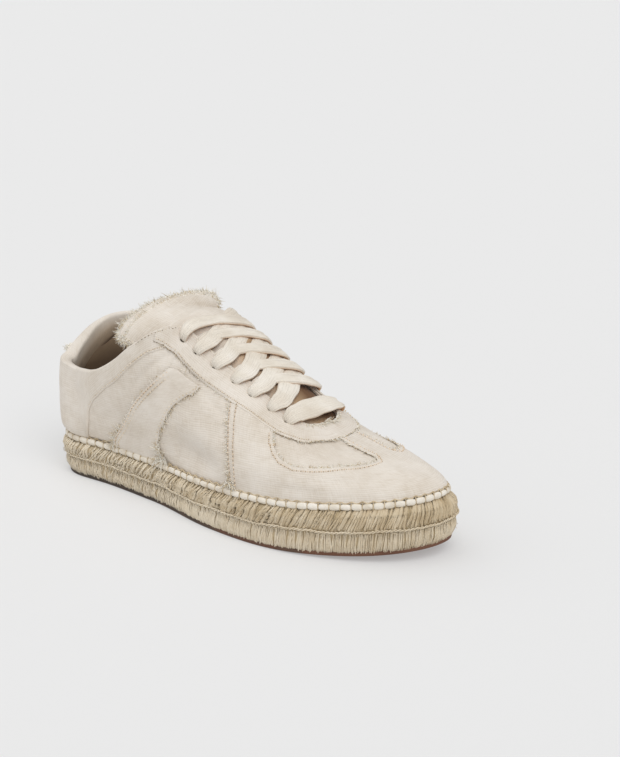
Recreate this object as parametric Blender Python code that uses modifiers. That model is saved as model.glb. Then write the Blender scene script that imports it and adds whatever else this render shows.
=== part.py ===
"""Low-top canvas espadrille sneaker, right shoe, at its real size (about EU 42).

X runs from heel to toe, +Y is the inner (medial) side, -Y the outer (lateral) side, +Z up.
The shoe stands on its rubber outsole at Z = 0, and the origin is under the middle of its box.

A place round the shoe is a turn in degrees: 0 is the back of the heel, 90 the outer waist,
180 the toe and 270 the inner waist. A place up the upper is a rise, from 0 at the sole's edge
to 1 at the collar or the throat.
"""

import math
from collections import namedtuple

import bmesh
import bpy
import numpy as np
from mathutils import Vector

MM = 0.001

SOLE_LENGTH = 295 * MM
BOX_CENTRE = (-3.65 * MM, -1.3 * MM)  # middle of the shoe's box, in the sole's own axes

TOE_SPRING = 8.6 * MM  # how far the sole lifts off the floor at the toe
FLAT_TO = 0.6  # the share of its length, from the heel, that lies flat

RUBBER_THICK = 3.0 * MM
GAP = 0.3 * MM
WALL = 1.4 * MM  # two plies of canvas
PANEL = 0.8 * MM  # one ply laid over them
PANEL_GAP = 0.5 * MM

WHIP_INSET = 0.5 * MM
WHIP_DEEP = 2.7 * MM
WHIP_TALL = 4.0 * MM
WHIP_STITCHES = 96
FOOT_BAND = 4.6 * MM  # height of canvas that the whip stitches hide

INSOLE_THICK = 3.0 * MM
WELD = 0.001 * MM
BAND_COLUMNS = 10
BAND_LIFT = 0.8 * MM  # slack of the outer side band over the hollow below the collar's corner
QUARTER_ROWS = (0, 0.12, 0.26, 0.42, 0.6, 0.8, 1)
TONGUE_THICK = 2.6 * MM
TONGUE_CLEAR = 1.0 * MM  # between the facings and the tongue under them
LACE_THICK = 1.6 * MM
LACE_WIDE = 8.0 * MM
LACE_CLEAR = 1.5 * MM
LACE_UNDER = 13 * MM  # how long an under strand holds its lean where it leaves a facing
LACE_OVER = 18 * MM  # the same for an over strand, which arches above it

# ---------------------------------------------------------------- tables

# The sole's outline at stations along its length. lateral and medial are the half widths
# that an ellipse of that station's fullness would have, and centre is its middle line.
SoleRow = namedtuple("SoleRow", "along lateral medial centre thick")
SOLE = [
    SoleRow(0.00, 70.0, 66.0, 0.0, 24.9),
    SoleRow(0.12, 42.6, 40.0, 1.0, 24.9),
    SoleRow(0.30, 36.2, 34.0, 1.8, 24.9),
    SoleRow(0.50, 45.6, 36.0, -0.5, 26.9),
    SoleRow(0.68, 53.9, 49.0, 1.1, 28.7),
    SoleRow(0.85, 56.3, 53.0, 3.7, 29.4),
    SoleRow(1.00, 63.5, 56.0, 11.2, 29.4),
]

# The jute side, bottom to top: how far each level lies inside the outline, in mm.
TierRow = namedtuple("TierRow", "level heel side toe")
TIERS = [
    TierRow(0.00, 3.2, 1.2, 2.8),
    TierRow(0.20, 1.6, 0.6, 1.0),
    TierRow(0.45, 1.4, 1.0, 1.0),
    TierRow(0.50, 0.3, 0.0, 0.0),
    TierRow(0.57, 0.3, 0.0, 0.0),
    TierRow(0.62, 1.0, 1.0, 1.0),
    TierRow(0.80, -0.2, 0.1, 1.6),
    TierRow(1.00, 0.2, 0.6, 4.6),
]

# The upper's sections, one for each turn. top_x, top_y and top_z are its edge at the collar or
# the throat, in mm. lean_low and lean_high are how far it leans out of the upright at its foot
# and at its edge, in degrees, and reach_low and reach_high are how long it holds those leans.
UpperRow = namedtuple(
    "UpperRow", "turn top_x top_y top_z lean_low reach_low lean_high reach_high"
)
UPPER = [
    UpperRow(0, -152.5, 0, 76, 38, 17, 8, 16),
    UpperRow(15, -148.5, -10, 75, 40, 17, 8, 16),
    UpperRow(30, -136, -18, 75, 40, 17, 8, 16),
    UpperRow(42, -120, -23.5, 76, 36, 17, 10, 16),
    UpperRow(54, -101, -29, 81, 30, 17, 8, 14),
    UpperRow(63, -84, -31.5, 92, 22, 18, 8, 16),
    UpperRow(69, -69, -31.5, 105, 18, 22, 9, 17),
    UpperRow(73, -54, -28.5, 116, 15, 25, 16, 20),
    UpperRow(79, -39, -14, 118.5, 12, 26, 44, 24),
    UpperRow(85, -23, -13.5, 109.5, 11, 25, 48, 22),
    UpperRow(94, -3, -13, 99.3, 10, 23, 54, 22),
    UpperRow(104, 18, -12.5, 88.6, 9, 22, 57, 22),
    UpperRow(114, 37, -12, 78.9, 8, 20, 60, 22),
    UpperRow(124, 50, -11, 72.5, 6, 18, 63, 24),
    UpperRow(140, 57, -7, 70, -4, 13, 70, 26),
    UpperRow(180, 61, 5, 69, -30, 11, 66, 34),
    UpperRow(220, 59, 16, 69.5, -8, 12, 68, 24),
    UpperRow(236, 52, 22, 72.5, 4, 16, 60, 20),
    UpperRow(246, 40, 24, 78.9, 4, 18, 54, 19),
    UpperRow(256, 21, 26, 88.6, 5, 20, 46, 19),
    UpperRow(266, 0, 28, 99.3, 6, 22, 38, 19),
    UpperRow(275, -20, 30, 109, 7, 24, 30, 19),
    UpperRow(281, -37, 32, 116, 8, 26, 22, 20),
    UpperRow(287, -53, 36, 115, 10, 25, 10, 20),
    UpperRow(291, -69, 37.5, 110, 13, 22, 4, 20),
    UpperRow(297, -92, 38, 104, 18, 18, 2, 16),
    UpperRow(306, -118, 36, 102, 26, 16, 0, 14),
    UpperRow(318, -135, 30, 99, 30, 15, 0, 14),
    UpperRow(330, -144.5, 22, 93.5, 34, 15, 4, 14),
    UpperRow(345, -150.5, 11, 84.5, 36, 16, 8, 14),
]

# Seams of the panels, by turn on the outer side; the inner side mirrors them. low is the rise
# of the panel's lower edge there.
SeamRow = namedtuple("SeamRow", "turn low")
REAR_QUARTER = [
    SeamRow(0, 0.02),
    SeamRow(38, 0.02),
    SeamRow(40, 0.10),
    SeamRow(42, 0.26),
    SeamRow(45, 0.50),
    SeamRow(49, 0.62),
    SeamRow(57, 0.74),
    SeamRow(65, 0.78),
    SeamRow(72, 0.82),
]
EYESTAY = [
    SeamRow(73.5, 0.91),
    SeamRow(77, 0.81),
    SeamRow(81, 0.745),
    SeamRow(88, 0.72),
    SeamRow(104, 0.72),
    SeamRow(114, 0.70),
    SeamRow(121, 0.74),
    SeamRow(134, 0.80),
    SeamRow(147, 0.825),
    SeamRow(168, 0.865),
    SeamRow(180, 0.87),
]
WINDOW = [
    SeamRow(98, 0.56),
    SeamRow(110, 0.56),
    SeamRow(111, 0.45),
    SeamRow(113, 0.38),
    SeamRow(117, 0.35),
    SeamRow(127, 0.41),
    SeamRow(141, 0.46),
    SeamRow(158, 0.50),
    SeamRow(166, 0.53),
    SeamRow(170, 0.59),
    SeamRow(180, 0.60),
]

# The side band's rear and front seams, by rise.
BandRow = namedtuple("BandRow", "rise rear front")
SIDE_BAND = [
    BandRow(0.02, 50.5, 71.5),
    BandRow(0.16, 53.5, 71.0),
    BandRow(0.26, 56.5, 73.0),
    BandRow(0.38, 61.0, 76.5),
    BandRow(0.50, 66.0, 81.5),
    BandRow(0.60, 73.0, 85.5),
    BandRow(0.68, 78.0, 87.5),
]

# Where the facings' turns face each other across the throat, toe to heel.
THROAT = [(124, 236), (114, 246), (104, 256), (94, 266), (85, 275), (79, 281)]

# The tongue's flap above the throat. Each row is an arch between its outer and inner edge,
# in mm, and lateral_up and medial_up are how far it rises out of them.
FlapRow = namedtuple(
    "FlapRow",
    "lateral_x lateral_y lateral_z lateral_up medial_x medial_y medial_z medial_up",
)
FLAP = [
    FlapRow(-53, -25.5, 101, 30, -42, 31, 108, 26),
    FlapRow(-67, -27.5, 103, 27, -45, 31, 117, 20),
    FlapRow(-82, -30.0, 108, 24, -50, 37, 123, 14),
]

# The eyelets, by their turn on the outer side, heel to toe.
EYELETS = (80, 84, 90, 97, 103, 110, 117)
EYELET_RISE = 0.9


def smooth(places, values, at):
    """A cubic through the values, whose slope at each place comes from its neighbours."""
    slopes = np.gradient(values, places)
    at = np.clip(at, places[0], places[-1])
    left = np.clip(np.searchsorted(places, at) - 1, 0, len(places) - 2)
    step = places[left + 1] - places[left]
    t = (at - places[left]) / step
    return (
        (2 * t**3 - 3 * t**2 + 1) * values[left]
        + (t**3 - 2 * t**2 + t) * step * slopes[left]
        + (3 * t**2 - 2 * t**3) * values[left + 1]
        + (t**3 - t**2) * step * slopes[left + 1]
    )


def read(rows, column, at):
    """A table's column at a place between its rows, where the first column is the place."""
    places = np.array([row[0] for row in rows], float)
    values = np.array([getattr(row, column) for row in rows], float)
    return smooth(places, values, at)


def read_round(rows, column, turn):
    """The same for a table that goes once round the shoe."""
    before = [row._replace(turn=row.turn - 360) for row in rows[-3:]]
    after = [row._replace(turn=row.turn + 360) for row in rows[:3]]
    return read(before + list(rows) + after, column, turn % 360)


# ---------------------------------------------------------------- the sole's shape


def along(turn):
    """How far along the sole a turn is, from 0 at the heel to 1 at the toe."""
    return (1 - math.cos(math.radians(turn))) / 2


def outline(turn):
    place = along(turn)
    turned = math.sin(math.radians(turn))
    side = "lateral" if turn % 360 < 180 else "medial"
    half = read(SOLE, side, place) * MM
    centre = read(SOLE, "centre", place) * MM
    return Vector(((place - 0.5) * SOLE_LENGTH, centre - half * turned, 0))


def outward(turn):
    """The level direction that faces out of the sole's outline."""
    tangent = outline(turn + 1) - outline(turn - 1)
    return Vector((tangent.y, -tangent.x, 0)).normalized()


def edge(turn, inset, height):
    point = outline(turn) - outward(turn) * inset
    return Vector((point.x, point.y, height))


def spring(turn):
    """How far the sole's underside is off the floor."""
    lifted = max(0.0, along(turn) - FLAT_TO) / (1 - FLAT_TO)
    return TOE_SPRING * lifted**2


def deck(turn):
    """Height of the jute sole's top."""
    return read(SOLE, "thick", along(turn)) * MM + spring(turn)


def tier_inset(tier, turn):
    place = along(turn)
    to_heel = max(0.0, 1 - place / 0.22)
    to_toe = max(0.0, (place - 0.72) / 0.28)
    side = 1 - to_heel - to_toe
    return (tier.heel * to_heel + tier.side * side + tier.toe * to_toe) * MM


# ---------------------------------------------------------------- the upper's shape


def upper_top(turn):
    return Vector([read_round(UPPER, name, turn) * MM for name in ("top_x", "top_y", "top_z")])


def whip_inset(turn):
    return tier_inset(TIERS[-1], turn) + WHIP_INSET


def upper_foot(turn):
    inset = whip_inset(turn) + WHIP_DEEP + PANEL_GAP
    return edge(turn, inset, deck(turn) + GAP + FOOT_BAND)


def leaning(turn, degrees):
    """A direction that leans out of the upright, away from the shoe."""
    lean = math.radians(degrees)
    return outward(turn) * math.sin(lean) + Vector((0, 0, math.cos(lean)))


def upper_handles(turn):
    """The four points of the cubic curve that the canvas follows from its foot to its edge."""
    low = leaning(turn, read_round(UPPER, "lean_low", turn))
    high = leaning(turn, -read_round(UPPER, "lean_high", turn))
    foot, top = upper_foot(turn), upper_top(turn)
    return (
        foot,
        foot + low * read_round(UPPER, "reach_low", turn) * MM,
        top - high * read_round(UPPER, "reach_high", turn) * MM,
        top,
    )


def upper_at(turn, rise):
    """A point of the upper's outer face. A rise below 0 runs down behind the whip stitches."""
    if rise < 0:
        return upper_foot(turn) + Vector((0, 0, FOOT_BAND * rise))
    a, b, c, d = upper_handles(turn)
    left = 1 - rise
    return a * left**3 + b * 3 * left**2 * rise + c * 3 * left * rise**2 + d * rise**3


def upper_out(turn, rise):
    """The upper's outward normal."""
    rise = min(max(rise, 0.01), 0.99)
    round_it = upper_at(turn + 0.5, rise) - upper_at(turn - 0.5, rise)
    up_it = upper_at(turn, rise + 0.01) - upper_at(turn, rise - 0.01)
    return round_it.cross(up_it).normalized()


def over_upper(turn, rise, above):
    return upper_at(turn, rise) + upper_out(turn, rise) * above


# ---------------------------------------------------------------- building


def clear_scene():
    for item in list(bpy.data.objects):
        bpy.data.objects.remove(item, do_unlink=True)


def material(name, colour, roughness):
    made = bpy.data.materials.new(name)
    made.use_nodes = True
    shader = made.node_tree.nodes["Principled BSDF"]
    shader.inputs["Base Color"].default_value = (*colour, 1)
    shader.inputs["Roughness"].default_value = roughness
    shader.inputs["Metallic"].default_value = 0
    return made


def add_piece(name, points, faces, finish):
    """A mesh object, centred on the shoe's box."""
    mesh = bpy.data.meshes.new(name)
    middle = Vector((*BOX_CENTRE, 0))
    mesh.from_pydata([point - middle for point in points], [], faces)
    mesh.validate()
    piece = bpy.data.objects.new(name, mesh)
    shoe.objects.link(piece)
    mesh.materials.append(finish)
    return piece


def grid_faces(rows, columns, closed=False, left_out=()):
    """Quads between rows of points, which face outwards where the rows run up a turning wall."""
    faces = []
    for r in range(rows - 1):
        for c in range(columns if closed else columns - 1):
            if (r, c) in left_out:
                continue
            d = (c + 1) % columns
            faces.append((r * columns + c, r * columns + d, (r + 1) * columns + d, (r + 1) * columns + c))
    return faces


def add_welded(name, points, faces, finish):
    """A mesh object whose points in one place are made one."""
    piece = add_piece(name, points, faces, finish)
    shape = bmesh.new()
    shape.from_mesh(piece.data)
    bmesh.ops.remove_doubles(shape, verts=shape.verts, dist=WELD)
    shape.to_mesh(piece.data)
    shape.free()
    return piece


def thicken(piece, thickness):
    solid = piece.modifiers.new("wall", "SOLIDIFY")
    solid.thickness = thickness
    solid.offset = -1
    solid.use_even_offset = True
    solid.use_rim = True
    return solid


def drop_loose(piece):
    """Removes the points that no face uses."""
    shape = bmesh.new()
    shape.from_mesh(piece.data)
    bmesh.ops.delete(shape, geom=[v for v in shape.verts if not v.link_faces], context="VERTS")
    shape.to_mesh(piece.data)
    shape.free()


def ladder(start, columns):
    """Faces across a ring of points, from each point to the one that mirrors it."""
    faces = []
    for c in range(columns // 2):
        rung = (c, c + 1, columns - c - 1, (columns - c) % columns)
        faces.append([start + i for i in dict.fromkeys(rung)])
    return faces


def loft(name, rings, finish):
    """A closed body through rings of points."""
    columns = len(rings[0])
    points = [point for ring in rings for point in ring]
    faces = grid_faces(len(rings), columns, closed=True)
    faces += [rung[::-1] for rung in ladder(0, columns)]
    faces += ladder(len(points) - columns, columns)
    return add_piece(name, points, faces, finish)


def spread(first, last, count):
    return [first + (last - first) * i / (count - 1) for i in range(count)]


def turns(count):
    return [360 * i / count for i in range(count)]


# ---------------------------------------------------------------- the sole


def make_outsole():
    stations = turns(60)
    levels = [(0.0, 1.2), (0.25, 0.5), (1.0, 0.3)]  # part of the thickness, inset in mm
    rings = []
    for part, inset in levels:
        rings.append(
            [
                edge(t, tier_inset(TIERS[0], t) + inset * MM, spring(t) + part * RUBBER_THICK)
                for t in stations
            ]
        )
    return loft("outsole", rings, RUBBER)


def make_jute_sole():
    stations = turns(60)
    rings = []
    for tier in TIERS:
        ring = []
        for t in stations:
            low = spring(t) + RUBBER_THICK + GAP
            ring.append(edge(t, tier_inset(tier, t), low + (deck(t) - low) * tier.level))
        rings.append(ring)
    return loft("jute_sole", rings, JUTE)


def way_round():
    """The turns round the outline, and the part of its length that is behind each of them."""
    places = np.linspace(0, 360, 721)
    walk = np.array([tuple(outline(t)) for t in places])
    behind = np.cumsum(np.linalg.norm(np.diff(walk, axis=0), axis=1))
    return places, np.concatenate([[0], behind]) / behind[-1]


def make_whip_stitch():
    """The blanket stitch that ties the canvas to the jute, plump in the middle of each stitch."""
    places, behind = way_round()
    rows = []
    for stitch in range(WHIP_STITCHES):
        for part, plump in ((0.0, 0.55), (0.5, 1.0)):
            turn = float(np.interp((stitch + part) / WHIP_STITCHES, behind, places))
            back = whip_inset(turn) + WHIP_DEEP
            front = back - WHIP_DEEP * (0.45 + 0.55 * plump)
            low = deck(turn) + GAP
            rows.append(
                [
                    edge(turn, back, low),
                    edge(turn, front, low + WHIP_TALL * 0.25 * plump),
                    edge(turn, back, low + WHIP_TALL * plump),
                ]
            )
    columns = len(rows)
    points = [row[i] for i in (0, 1, 2, 0) for row in rows]
    faces = grid_faces(4, columns, closed=True)
    return add_welded("whip_stitch", points, faces, WHIP)


def make_insole():
    stations = turns(60)
    levels = [(0.0, 6.2), (0.7, 6.2), (1.0, 8.0)]  # part of the thickness, inset in mm
    rings = []
    for part, inset in levels:
        ring = []
        for t in stations:
            height = deck(t) + GAP + INSOLE_THICK * part
            ring.append(edge(t, tier_inset(TIERS[-1], t) + inset * MM, height))
        rings.append(ring)
    return loft("insole", rings, LINING)


# ---------------------------------------------------------------- the upper


def make_upper():
    """The hollow canvas upper: open at the collar and throat, and underneath."""
    side = [5, 10, 15, 20, 25, 30, 35, 39, 43, 47, 51, 55, 59, 63, 66, 69, 71, 73, 75, 77, 79, 82]
    side += [85, 88.5, 92, 96, 100, 104, 109, 114, 119, 124, 129, 134, 140, 146, 152, 158, 164]
    side += [170, 175]
    stations = [0] + side + [180] + [360 - turn for turn in side[::-1]]
    rises = [-1, 0, 0.13, 0.26, 0.39, 0.52, 0.65, 0.77, 0.88, 1.0]
    points = [upper_at(t, r) for r in rises for t in stations]
    piece = add_piece("upper", points, grid_faces(len(rises), len(stations), closed=True), CANVAS)
    thicken(piece, WALL)
    return piece


def folded(turn):
    """The outer side's turn that a turn on either side mirrors."""
    turn = turn % 360
    return min(turn, 360 - turn)


def straight(rows, column, at):
    """A table's column at a place between its rows, in straight steps."""
    return float(np.interp(at, [row[0] for row in rows], [getattr(row, column) for row in rows]))


def make_panel(name, columns, rises_at, rows, left_out=()):
    """A ply of canvas over the upper. rises_at(turn) gives its rises, one for each row."""
    rises = {turn: rises_at(turn) for turn in columns}
    points = [
        over_upper(turn, rises[turn][row], PANEL_GAP + PANEL)
        for row in range(rows)
        for turn in columns
    ]
    faces = grid_faces(rows, len(columns), left_out=left_out)
    piece = add_piece(name, points, faces, CANVAS)
    drop_loose(piece)
    thicken(piece, PANEL)
    return piece


def quarter_rises(low):
    return [low + (0.97 - low) * part for part in QUARTER_ROWS]


def make_rear_quarter():
    """The counter round the heel, with a narrow arm along each side of the collar."""
    arm = [72, 69, 65, 61, 57, 53, 49, 47, 45, 43.5, 42, 41, 40, 38, 34, 29, 23.5, 18, 12, 6]
    columns = [-turn for turn in arm] + [0] + arm[::-1]
    return make_panel(
        "rear_quarter",
        columns,
        lambda turn: quarter_rises(straight(REAR_QUARTER, "low", folded(turn))),
        len(QUARTER_ROWS),
    )


def make_side_band(name, mirrored):
    """The band of canvas between the counter and the waist."""
    rises = spread(SIDE_BAND[0].rise, SIDE_BAND[-1].rise, 10)
    points = []
    for rise in rises:
        rear, front = (straight(SIDE_BAND, column, rise) for column in ("rear", "front"))
        lift = BAND_LIFT
        if mirrored:
            rear, front = 360 - front, 360 - rear
            lift = 0
        for turn in spread(rear, front, BAND_COLUMNS):
            points.append(over_upper(turn, rise, PANEL_GAP + PANEL + lift))
    piece = add_piece(name, points, grid_faces(len(rises), BAND_COLUMNS), CANVAS)
    thicken(piece, PANEL)
    return piece


def eyestay_low(turn):
    return straight(EYESTAY, "low", folded(turn))


def make_eyestay():
    """The U of canvas round the throat that carries the eyelets."""
    side = [73.5, 75, 77, 79, 81, 84.5, 88, 92, 96, 100, 104, 109, 114, 117.5, 121, 127, 134, 140]
    side += [147, 154, 161, 168, 174]
    columns = side + [180] + [360 - turn for turn in side[::-1]]
    return make_panel("eyestay", columns, lambda turn: spread(eyestay_low(turn), 0.985, 4), 4)


def make_toe_guard():
    """The T of canvas round the toe, whose stem parts its two windows."""
    side = [99, 101.5, 104, 107, 110, 111, 113, 117, 121, 125, 129, 134, 139, 144, 149, 154]
    side += [159, 163, 167, 170, 175]
    columns = side + [180] + [360 - turn for turn in side[::-1]]
    low_rows, leg_rows = 7, 3

    def rises_at(turn):
        sill = straight(WINDOW, "low", folded(turn))
        below = spread(0.02, sill, low_rows)
        return below + spread(sill, eyestay_low(turn) - 0.012, leg_rows + 1)[1:]

    windows = [
        (row, column)
        for row in range(low_rows - 1, low_rows - 1 + leg_rows)
        for column in range(len(columns) - 1)
        if 110 <= folded((columns[column] + columns[column + 1]) / 2) < 170
    ]
    return make_panel("toe_guard", columns, rises_at, low_rows + leg_rows, windows)


# ---------------------------------------------------------------- the tongue and the laces


def curve_point(a, b, c, d, part):
    left = 1 - part
    return a * left**3 + b * 3 * left**2 * part + c * 3 * left * part**2 + d * part**3


def under_facings(outer, inner, reach):
    """Points across the tongue, from under one facing over the throat to under the other."""
    below = -(WALL + TONGUE_CLEAR)
    rises = (0.76, 0.88, 1.0)
    lateral = [over_upper(outer, rise, below) for rise in rises]
    medial = [over_upper(inner, rise, below) for rise in rises]
    start, end = lateral[-1], medial[-1]
    a = start + leaning(outer, -read_round(UPPER, "lean_high", outer)) * reach
    b = end + leaning(inner, -read_round(UPPER, "lean_high", inner)) * reach
    arch = [curve_point(start, a, b, end, i / 6) for i in range(1, 6)]
    return lateral + arch + medial[::-1]


def flap_points(row):
    start = Vector((row.lateral_x, row.lateral_y, row.lateral_z)) * MM
    end = Vector((row.medial_x, row.medial_y, row.medial_z)) * MM
    a = start + Vector((0.15, 0.15, 1)) * row.lateral_up * MM
    b = end + Vector((-0.4, -0.3, 1)) * row.medial_up * MM
    return [curve_point(start, a, b, end, i / 10) for i in range(11)]


def make_tongue():
    """The padded tongue: under the vamp and the facings, then a free flap above them."""
    reaches = (5, 10, 13, 14, 14, 14)
    tip = [(129, 0.76), (136, 0.83), (144, 0.88), (153, 0.9), (166, 0.91), (180, 0.91)]
    tip += [(360 - turn, rise) for turn, rise in tip[-2::-1]]
    rows = [[over_upper(turn, rise, -(WALL + TONGUE_CLEAR)) for turn, rise in tip]]
    for (outer, inner), reach in zip(THROAT, reaches):
        rows.append(under_facings(outer, inner, reach * MM))
    rows += [flap_points(row) for row in FLAP]
    columns = len(rows[0])
    points = [point for row in rows for point in row]
    piece = add_piece("tongue", points, grid_faces(len(rows), columns), CANVAS)
    thicken(piece, TONGUE_THICK).use_even_offset = False
    return piece


def lace_path(outer, inner, reach):
    """A lace's middle line, from one eyelet over the throat to another."""
    above = PANEL_GAP + PANEL + LACE_CLEAR + LACE_THICK / 2
    first, last = (over_upper(turn, EYELET_RISE, above) for turn in (outer, inner))
    start, end = (over_upper(turn, 1.0, above) for turn in (outer, inner))
    a = start + leaning(outer, -read_round(UPPER, "lean_high", outer)) * reach
    b = end + leaning(inner, -read_round(UPPER, "lean_high", inner)) * reach
    return [first] + [curve_point(start, a, b, end, i / 4) for i in range(5)] + [last]


def make_strand(name, outer, inner, reach):
    """A flat strand of lace between two eyelets, whose width lies along the throat."""
    path = lace_path(outer, inner, reach)
    throat = upper_top(outer + 4) - upper_top(outer - 4)
    rings = []
    for i, point in enumerate(path):
        ahead = (path[min(i + 1, len(path) - 1)] - path[max(i - 1, 0)]).normalized()
        across = (throat - ahead * throat.dot(ahead)).normalized()
        side, lift = across * LACE_WIDE / 2, across.cross(ahead) * LACE_THICK / 2
        rings.append([point + side - lift, point + side + lift, point - side + lift, point - side - lift])
    return loft(name, rings, LACE)


def make_laces():
    """The bottom bar and the crossings above it, joined into one solid."""
    inner = [360 - turn for turn in EYELETS]
    bar = make_strand("laces", EYELETS[-1], inner[-1], LACE_UNDER)
    for row in range(len(EYELETS) - 1):
        crossing = (
            make_strand(f"over_strand_{row}", EYELETS[row], inner[row + 1], LACE_OVER),
            make_strand(f"under_strand_{row}", EYELETS[row + 1], inner[row], LACE_UNDER),
        )
        for strand in crossing:
            shoe.objects.unlink(strand)
            strands.objects.link(strand)
            strand.hide_render = True
            strand.display_type = "WIRE"
            join = bar.modifiers.new(strand.name, "BOOLEAN")
            join.operation = "UNION"
            join.object = strand
    return bar


clear_scene()
shoe = bpy.data.collections.new("espadrille_sneaker")
strands = bpy.data.collections.new("lace_strands")
for collection in (shoe, strands):
    bpy.context.scene.collection.children.link(collection)

CANVAS = material("undyed cotton canvas", (0.75, 0.69, 0.60), 0.9)
LINING = material("cotton lining", (0.60, 0.53, 0.44), 0.9)
JUTE = material("braided jute", (0.45, 0.36, 0.23), 0.95)
RUBBER = material("crepe rubber", (0.20, 0.09, 0.05), 0.7)
WHIP = material("cotton whip yarn", (0.80, 0.75, 0.66), 0.85)
LACE = material("flat cotton lace", (0.80, 0.75, 0.67), 0.85)

make_outsole()
make_jute_sole()
make_whip_stitch()
make_insole()
make_upper()
make_rear_quarter()
make_side_band("side_band_lateral", mirrored=False)
make_side_band("side_band_medial", mirrored=True)
make_toe_guard()
make_eyestay()
make_tongue()
make_laces()
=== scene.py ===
"""Low-top canvas espadrille sneaker, right shoe: raw-edged canvas panels on a jute sole.

X runs from heel to toe, +Y is the inner (medial) side, -Y the outer (lateral) side, +Z up.
A place round the shoe is a turn in degrees: 0 is the back of the heel, 90 the outer waist,
180 the toe and 270 the inner waist. A place up the canvas is a rise, from 0 at the sole's
edge to 1 at the collar or the throat.
"""

import math
from collections import namedtuple

import bmesh
import bpy
import numpy as np
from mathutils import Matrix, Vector


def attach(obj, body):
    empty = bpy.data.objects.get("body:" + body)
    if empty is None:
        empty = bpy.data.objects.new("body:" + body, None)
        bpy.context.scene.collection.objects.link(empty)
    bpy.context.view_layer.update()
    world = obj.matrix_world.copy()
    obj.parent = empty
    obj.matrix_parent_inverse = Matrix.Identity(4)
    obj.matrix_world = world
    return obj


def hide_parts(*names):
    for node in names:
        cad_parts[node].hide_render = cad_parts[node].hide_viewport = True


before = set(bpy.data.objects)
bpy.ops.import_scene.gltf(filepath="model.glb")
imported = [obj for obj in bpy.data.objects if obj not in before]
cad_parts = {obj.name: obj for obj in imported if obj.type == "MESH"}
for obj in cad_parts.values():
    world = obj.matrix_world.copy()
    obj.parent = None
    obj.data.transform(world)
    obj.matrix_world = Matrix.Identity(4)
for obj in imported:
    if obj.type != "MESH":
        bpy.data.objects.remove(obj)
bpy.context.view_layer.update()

# ---------------------------------------------------------------- camera, light and floor
# A pale, even studio: a wide sheet of paper, a white surround and two very wide lamps, the
# stronger one to the right. The paper glows a little, so that the shadows on it stay faint.

MM = 0.001
CAMERA_TURN = 36  # degrees from the outer side, towards the toe
CAMERA_UP = 21
CAMERA_FAR = 1.2
LOOK_AT = Vector((0.00365, 0.0013, 0.040))


def linear(code):
    """The linear colour of an sRGB hex code."""
    parts = [int(code[i : i + 2], 16) / 255 for i in (0, 2, 4)]
    return (*(p / 12.92 if p <= 0.04045 else ((p + 0.055) / 1.055) ** 2.4 for p in parts), 1.0)


def feed(tree, node, **inputs):
    """Links or sets a node's inputs: Base_Color is "Base Color", and _2 is its third input."""
    for name, value in inputs.items():
        socket = node.inputs[int(name[1:]) if name[1:].isdigit() else name.replace("_", " ")]
        if isinstance(value, bpy.types.NodeSocket):
            tree.links.new(value, socket)
        else:
            socket.default_value = value


def add_material(name):
    """A new material, its node tree and its shader."""
    made = bpy.data.materials.new(name)
    made.use_nodes = True
    return made, made.node_tree, made.node_tree.nodes["Principled BSDF"]


def direction(turn, up):
    """The way to a place, in degrees from the outer side towards the toe, and degrees up."""
    turn, up = math.radians(turn), math.radians(up)
    return Vector((math.sin(turn) * math.cos(up), -math.cos(turn) * math.cos(up), math.sin(up)))


def aim(item, target):
    item.rotation_euler = (target - item.location).to_track_quat("-Z", "Y").to_euler()


bpy.ops.object.camera_add(location=LOOK_AT + direction(CAMERA_TURN, CAMERA_UP) * CAMERA_FAR)
camera = bpy.context.object
aim(camera, LOOK_AT)
camera.data.sensor_fit = "VERTICAL"
camera.data.sensor_height = 36
camera.data.lens = 88.16
camera.data.shift_x = 0.0827
camera.data.shift_y = 0.0933
bpy.context.scene.camera = camera
bpy.context.scene.view_settings.view_transform = "Standard"

# The lamps are so far off that they light the whole floor alike. Each one's place and width
# are in degrees.
for side, up, wide, power in ((57, 54, 50, 1.40), (-75, 52, 80, 0.79)):
    bpy.ops.object.light_add(type="SUN", location=direction(side, up))
    lamp = bpy.context.object
    lamp.data.angle = math.radians(wide)
    lamp.data.energy = power
    aim(lamp, Vector((0, 0, 0)))

world = bpy.data.worlds.new("studio surround")
bpy.context.scene.world = world
world.use_nodes = True
feed(world.node_tree, world.node_tree.nodes["Background"], Color=linear("ffffff"), Strength=0.44)

bpy.ops.mesh.primitive_plane_add(size=14)
floor = bpy.context.object
floor.name = "floor"
paper, tree, shader = add_material("matt studio paper")
feed(tree, shader, Base_Color=linear("bababa"), Roughness=1.0)
feed(tree, shader, Emission_Color=linear("ffffff"), Emission_Strength=0.32)
floor.data.materials.append(paper)

# ---------------------------------------------------------------- rubber outsole
# A thin sheet of brown crepe rubber, glued under the jute and trimmed flush. It is flat from
# the heel to the ball, and curls up at the toe.

SOLE_LENGTH = 295 * MM
BOX_CENTRE = np.array((-3.65, -1.3, 0)) * MM  # middle of the shoe's box in the sole's own axes
RUBBER_THICK = 3.0 * MM
TOE_SPRING = 8.6 * MM
FLAT_TO = 0.6  # the share of the sole's length, from the heel, that lies flat
GAP = 0.3 * MM


def table(names, *rows):
    """Rows whose values are read by name."""
    kind = namedtuple("Row", names)
    return [kind(*row) for row in rows]


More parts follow.
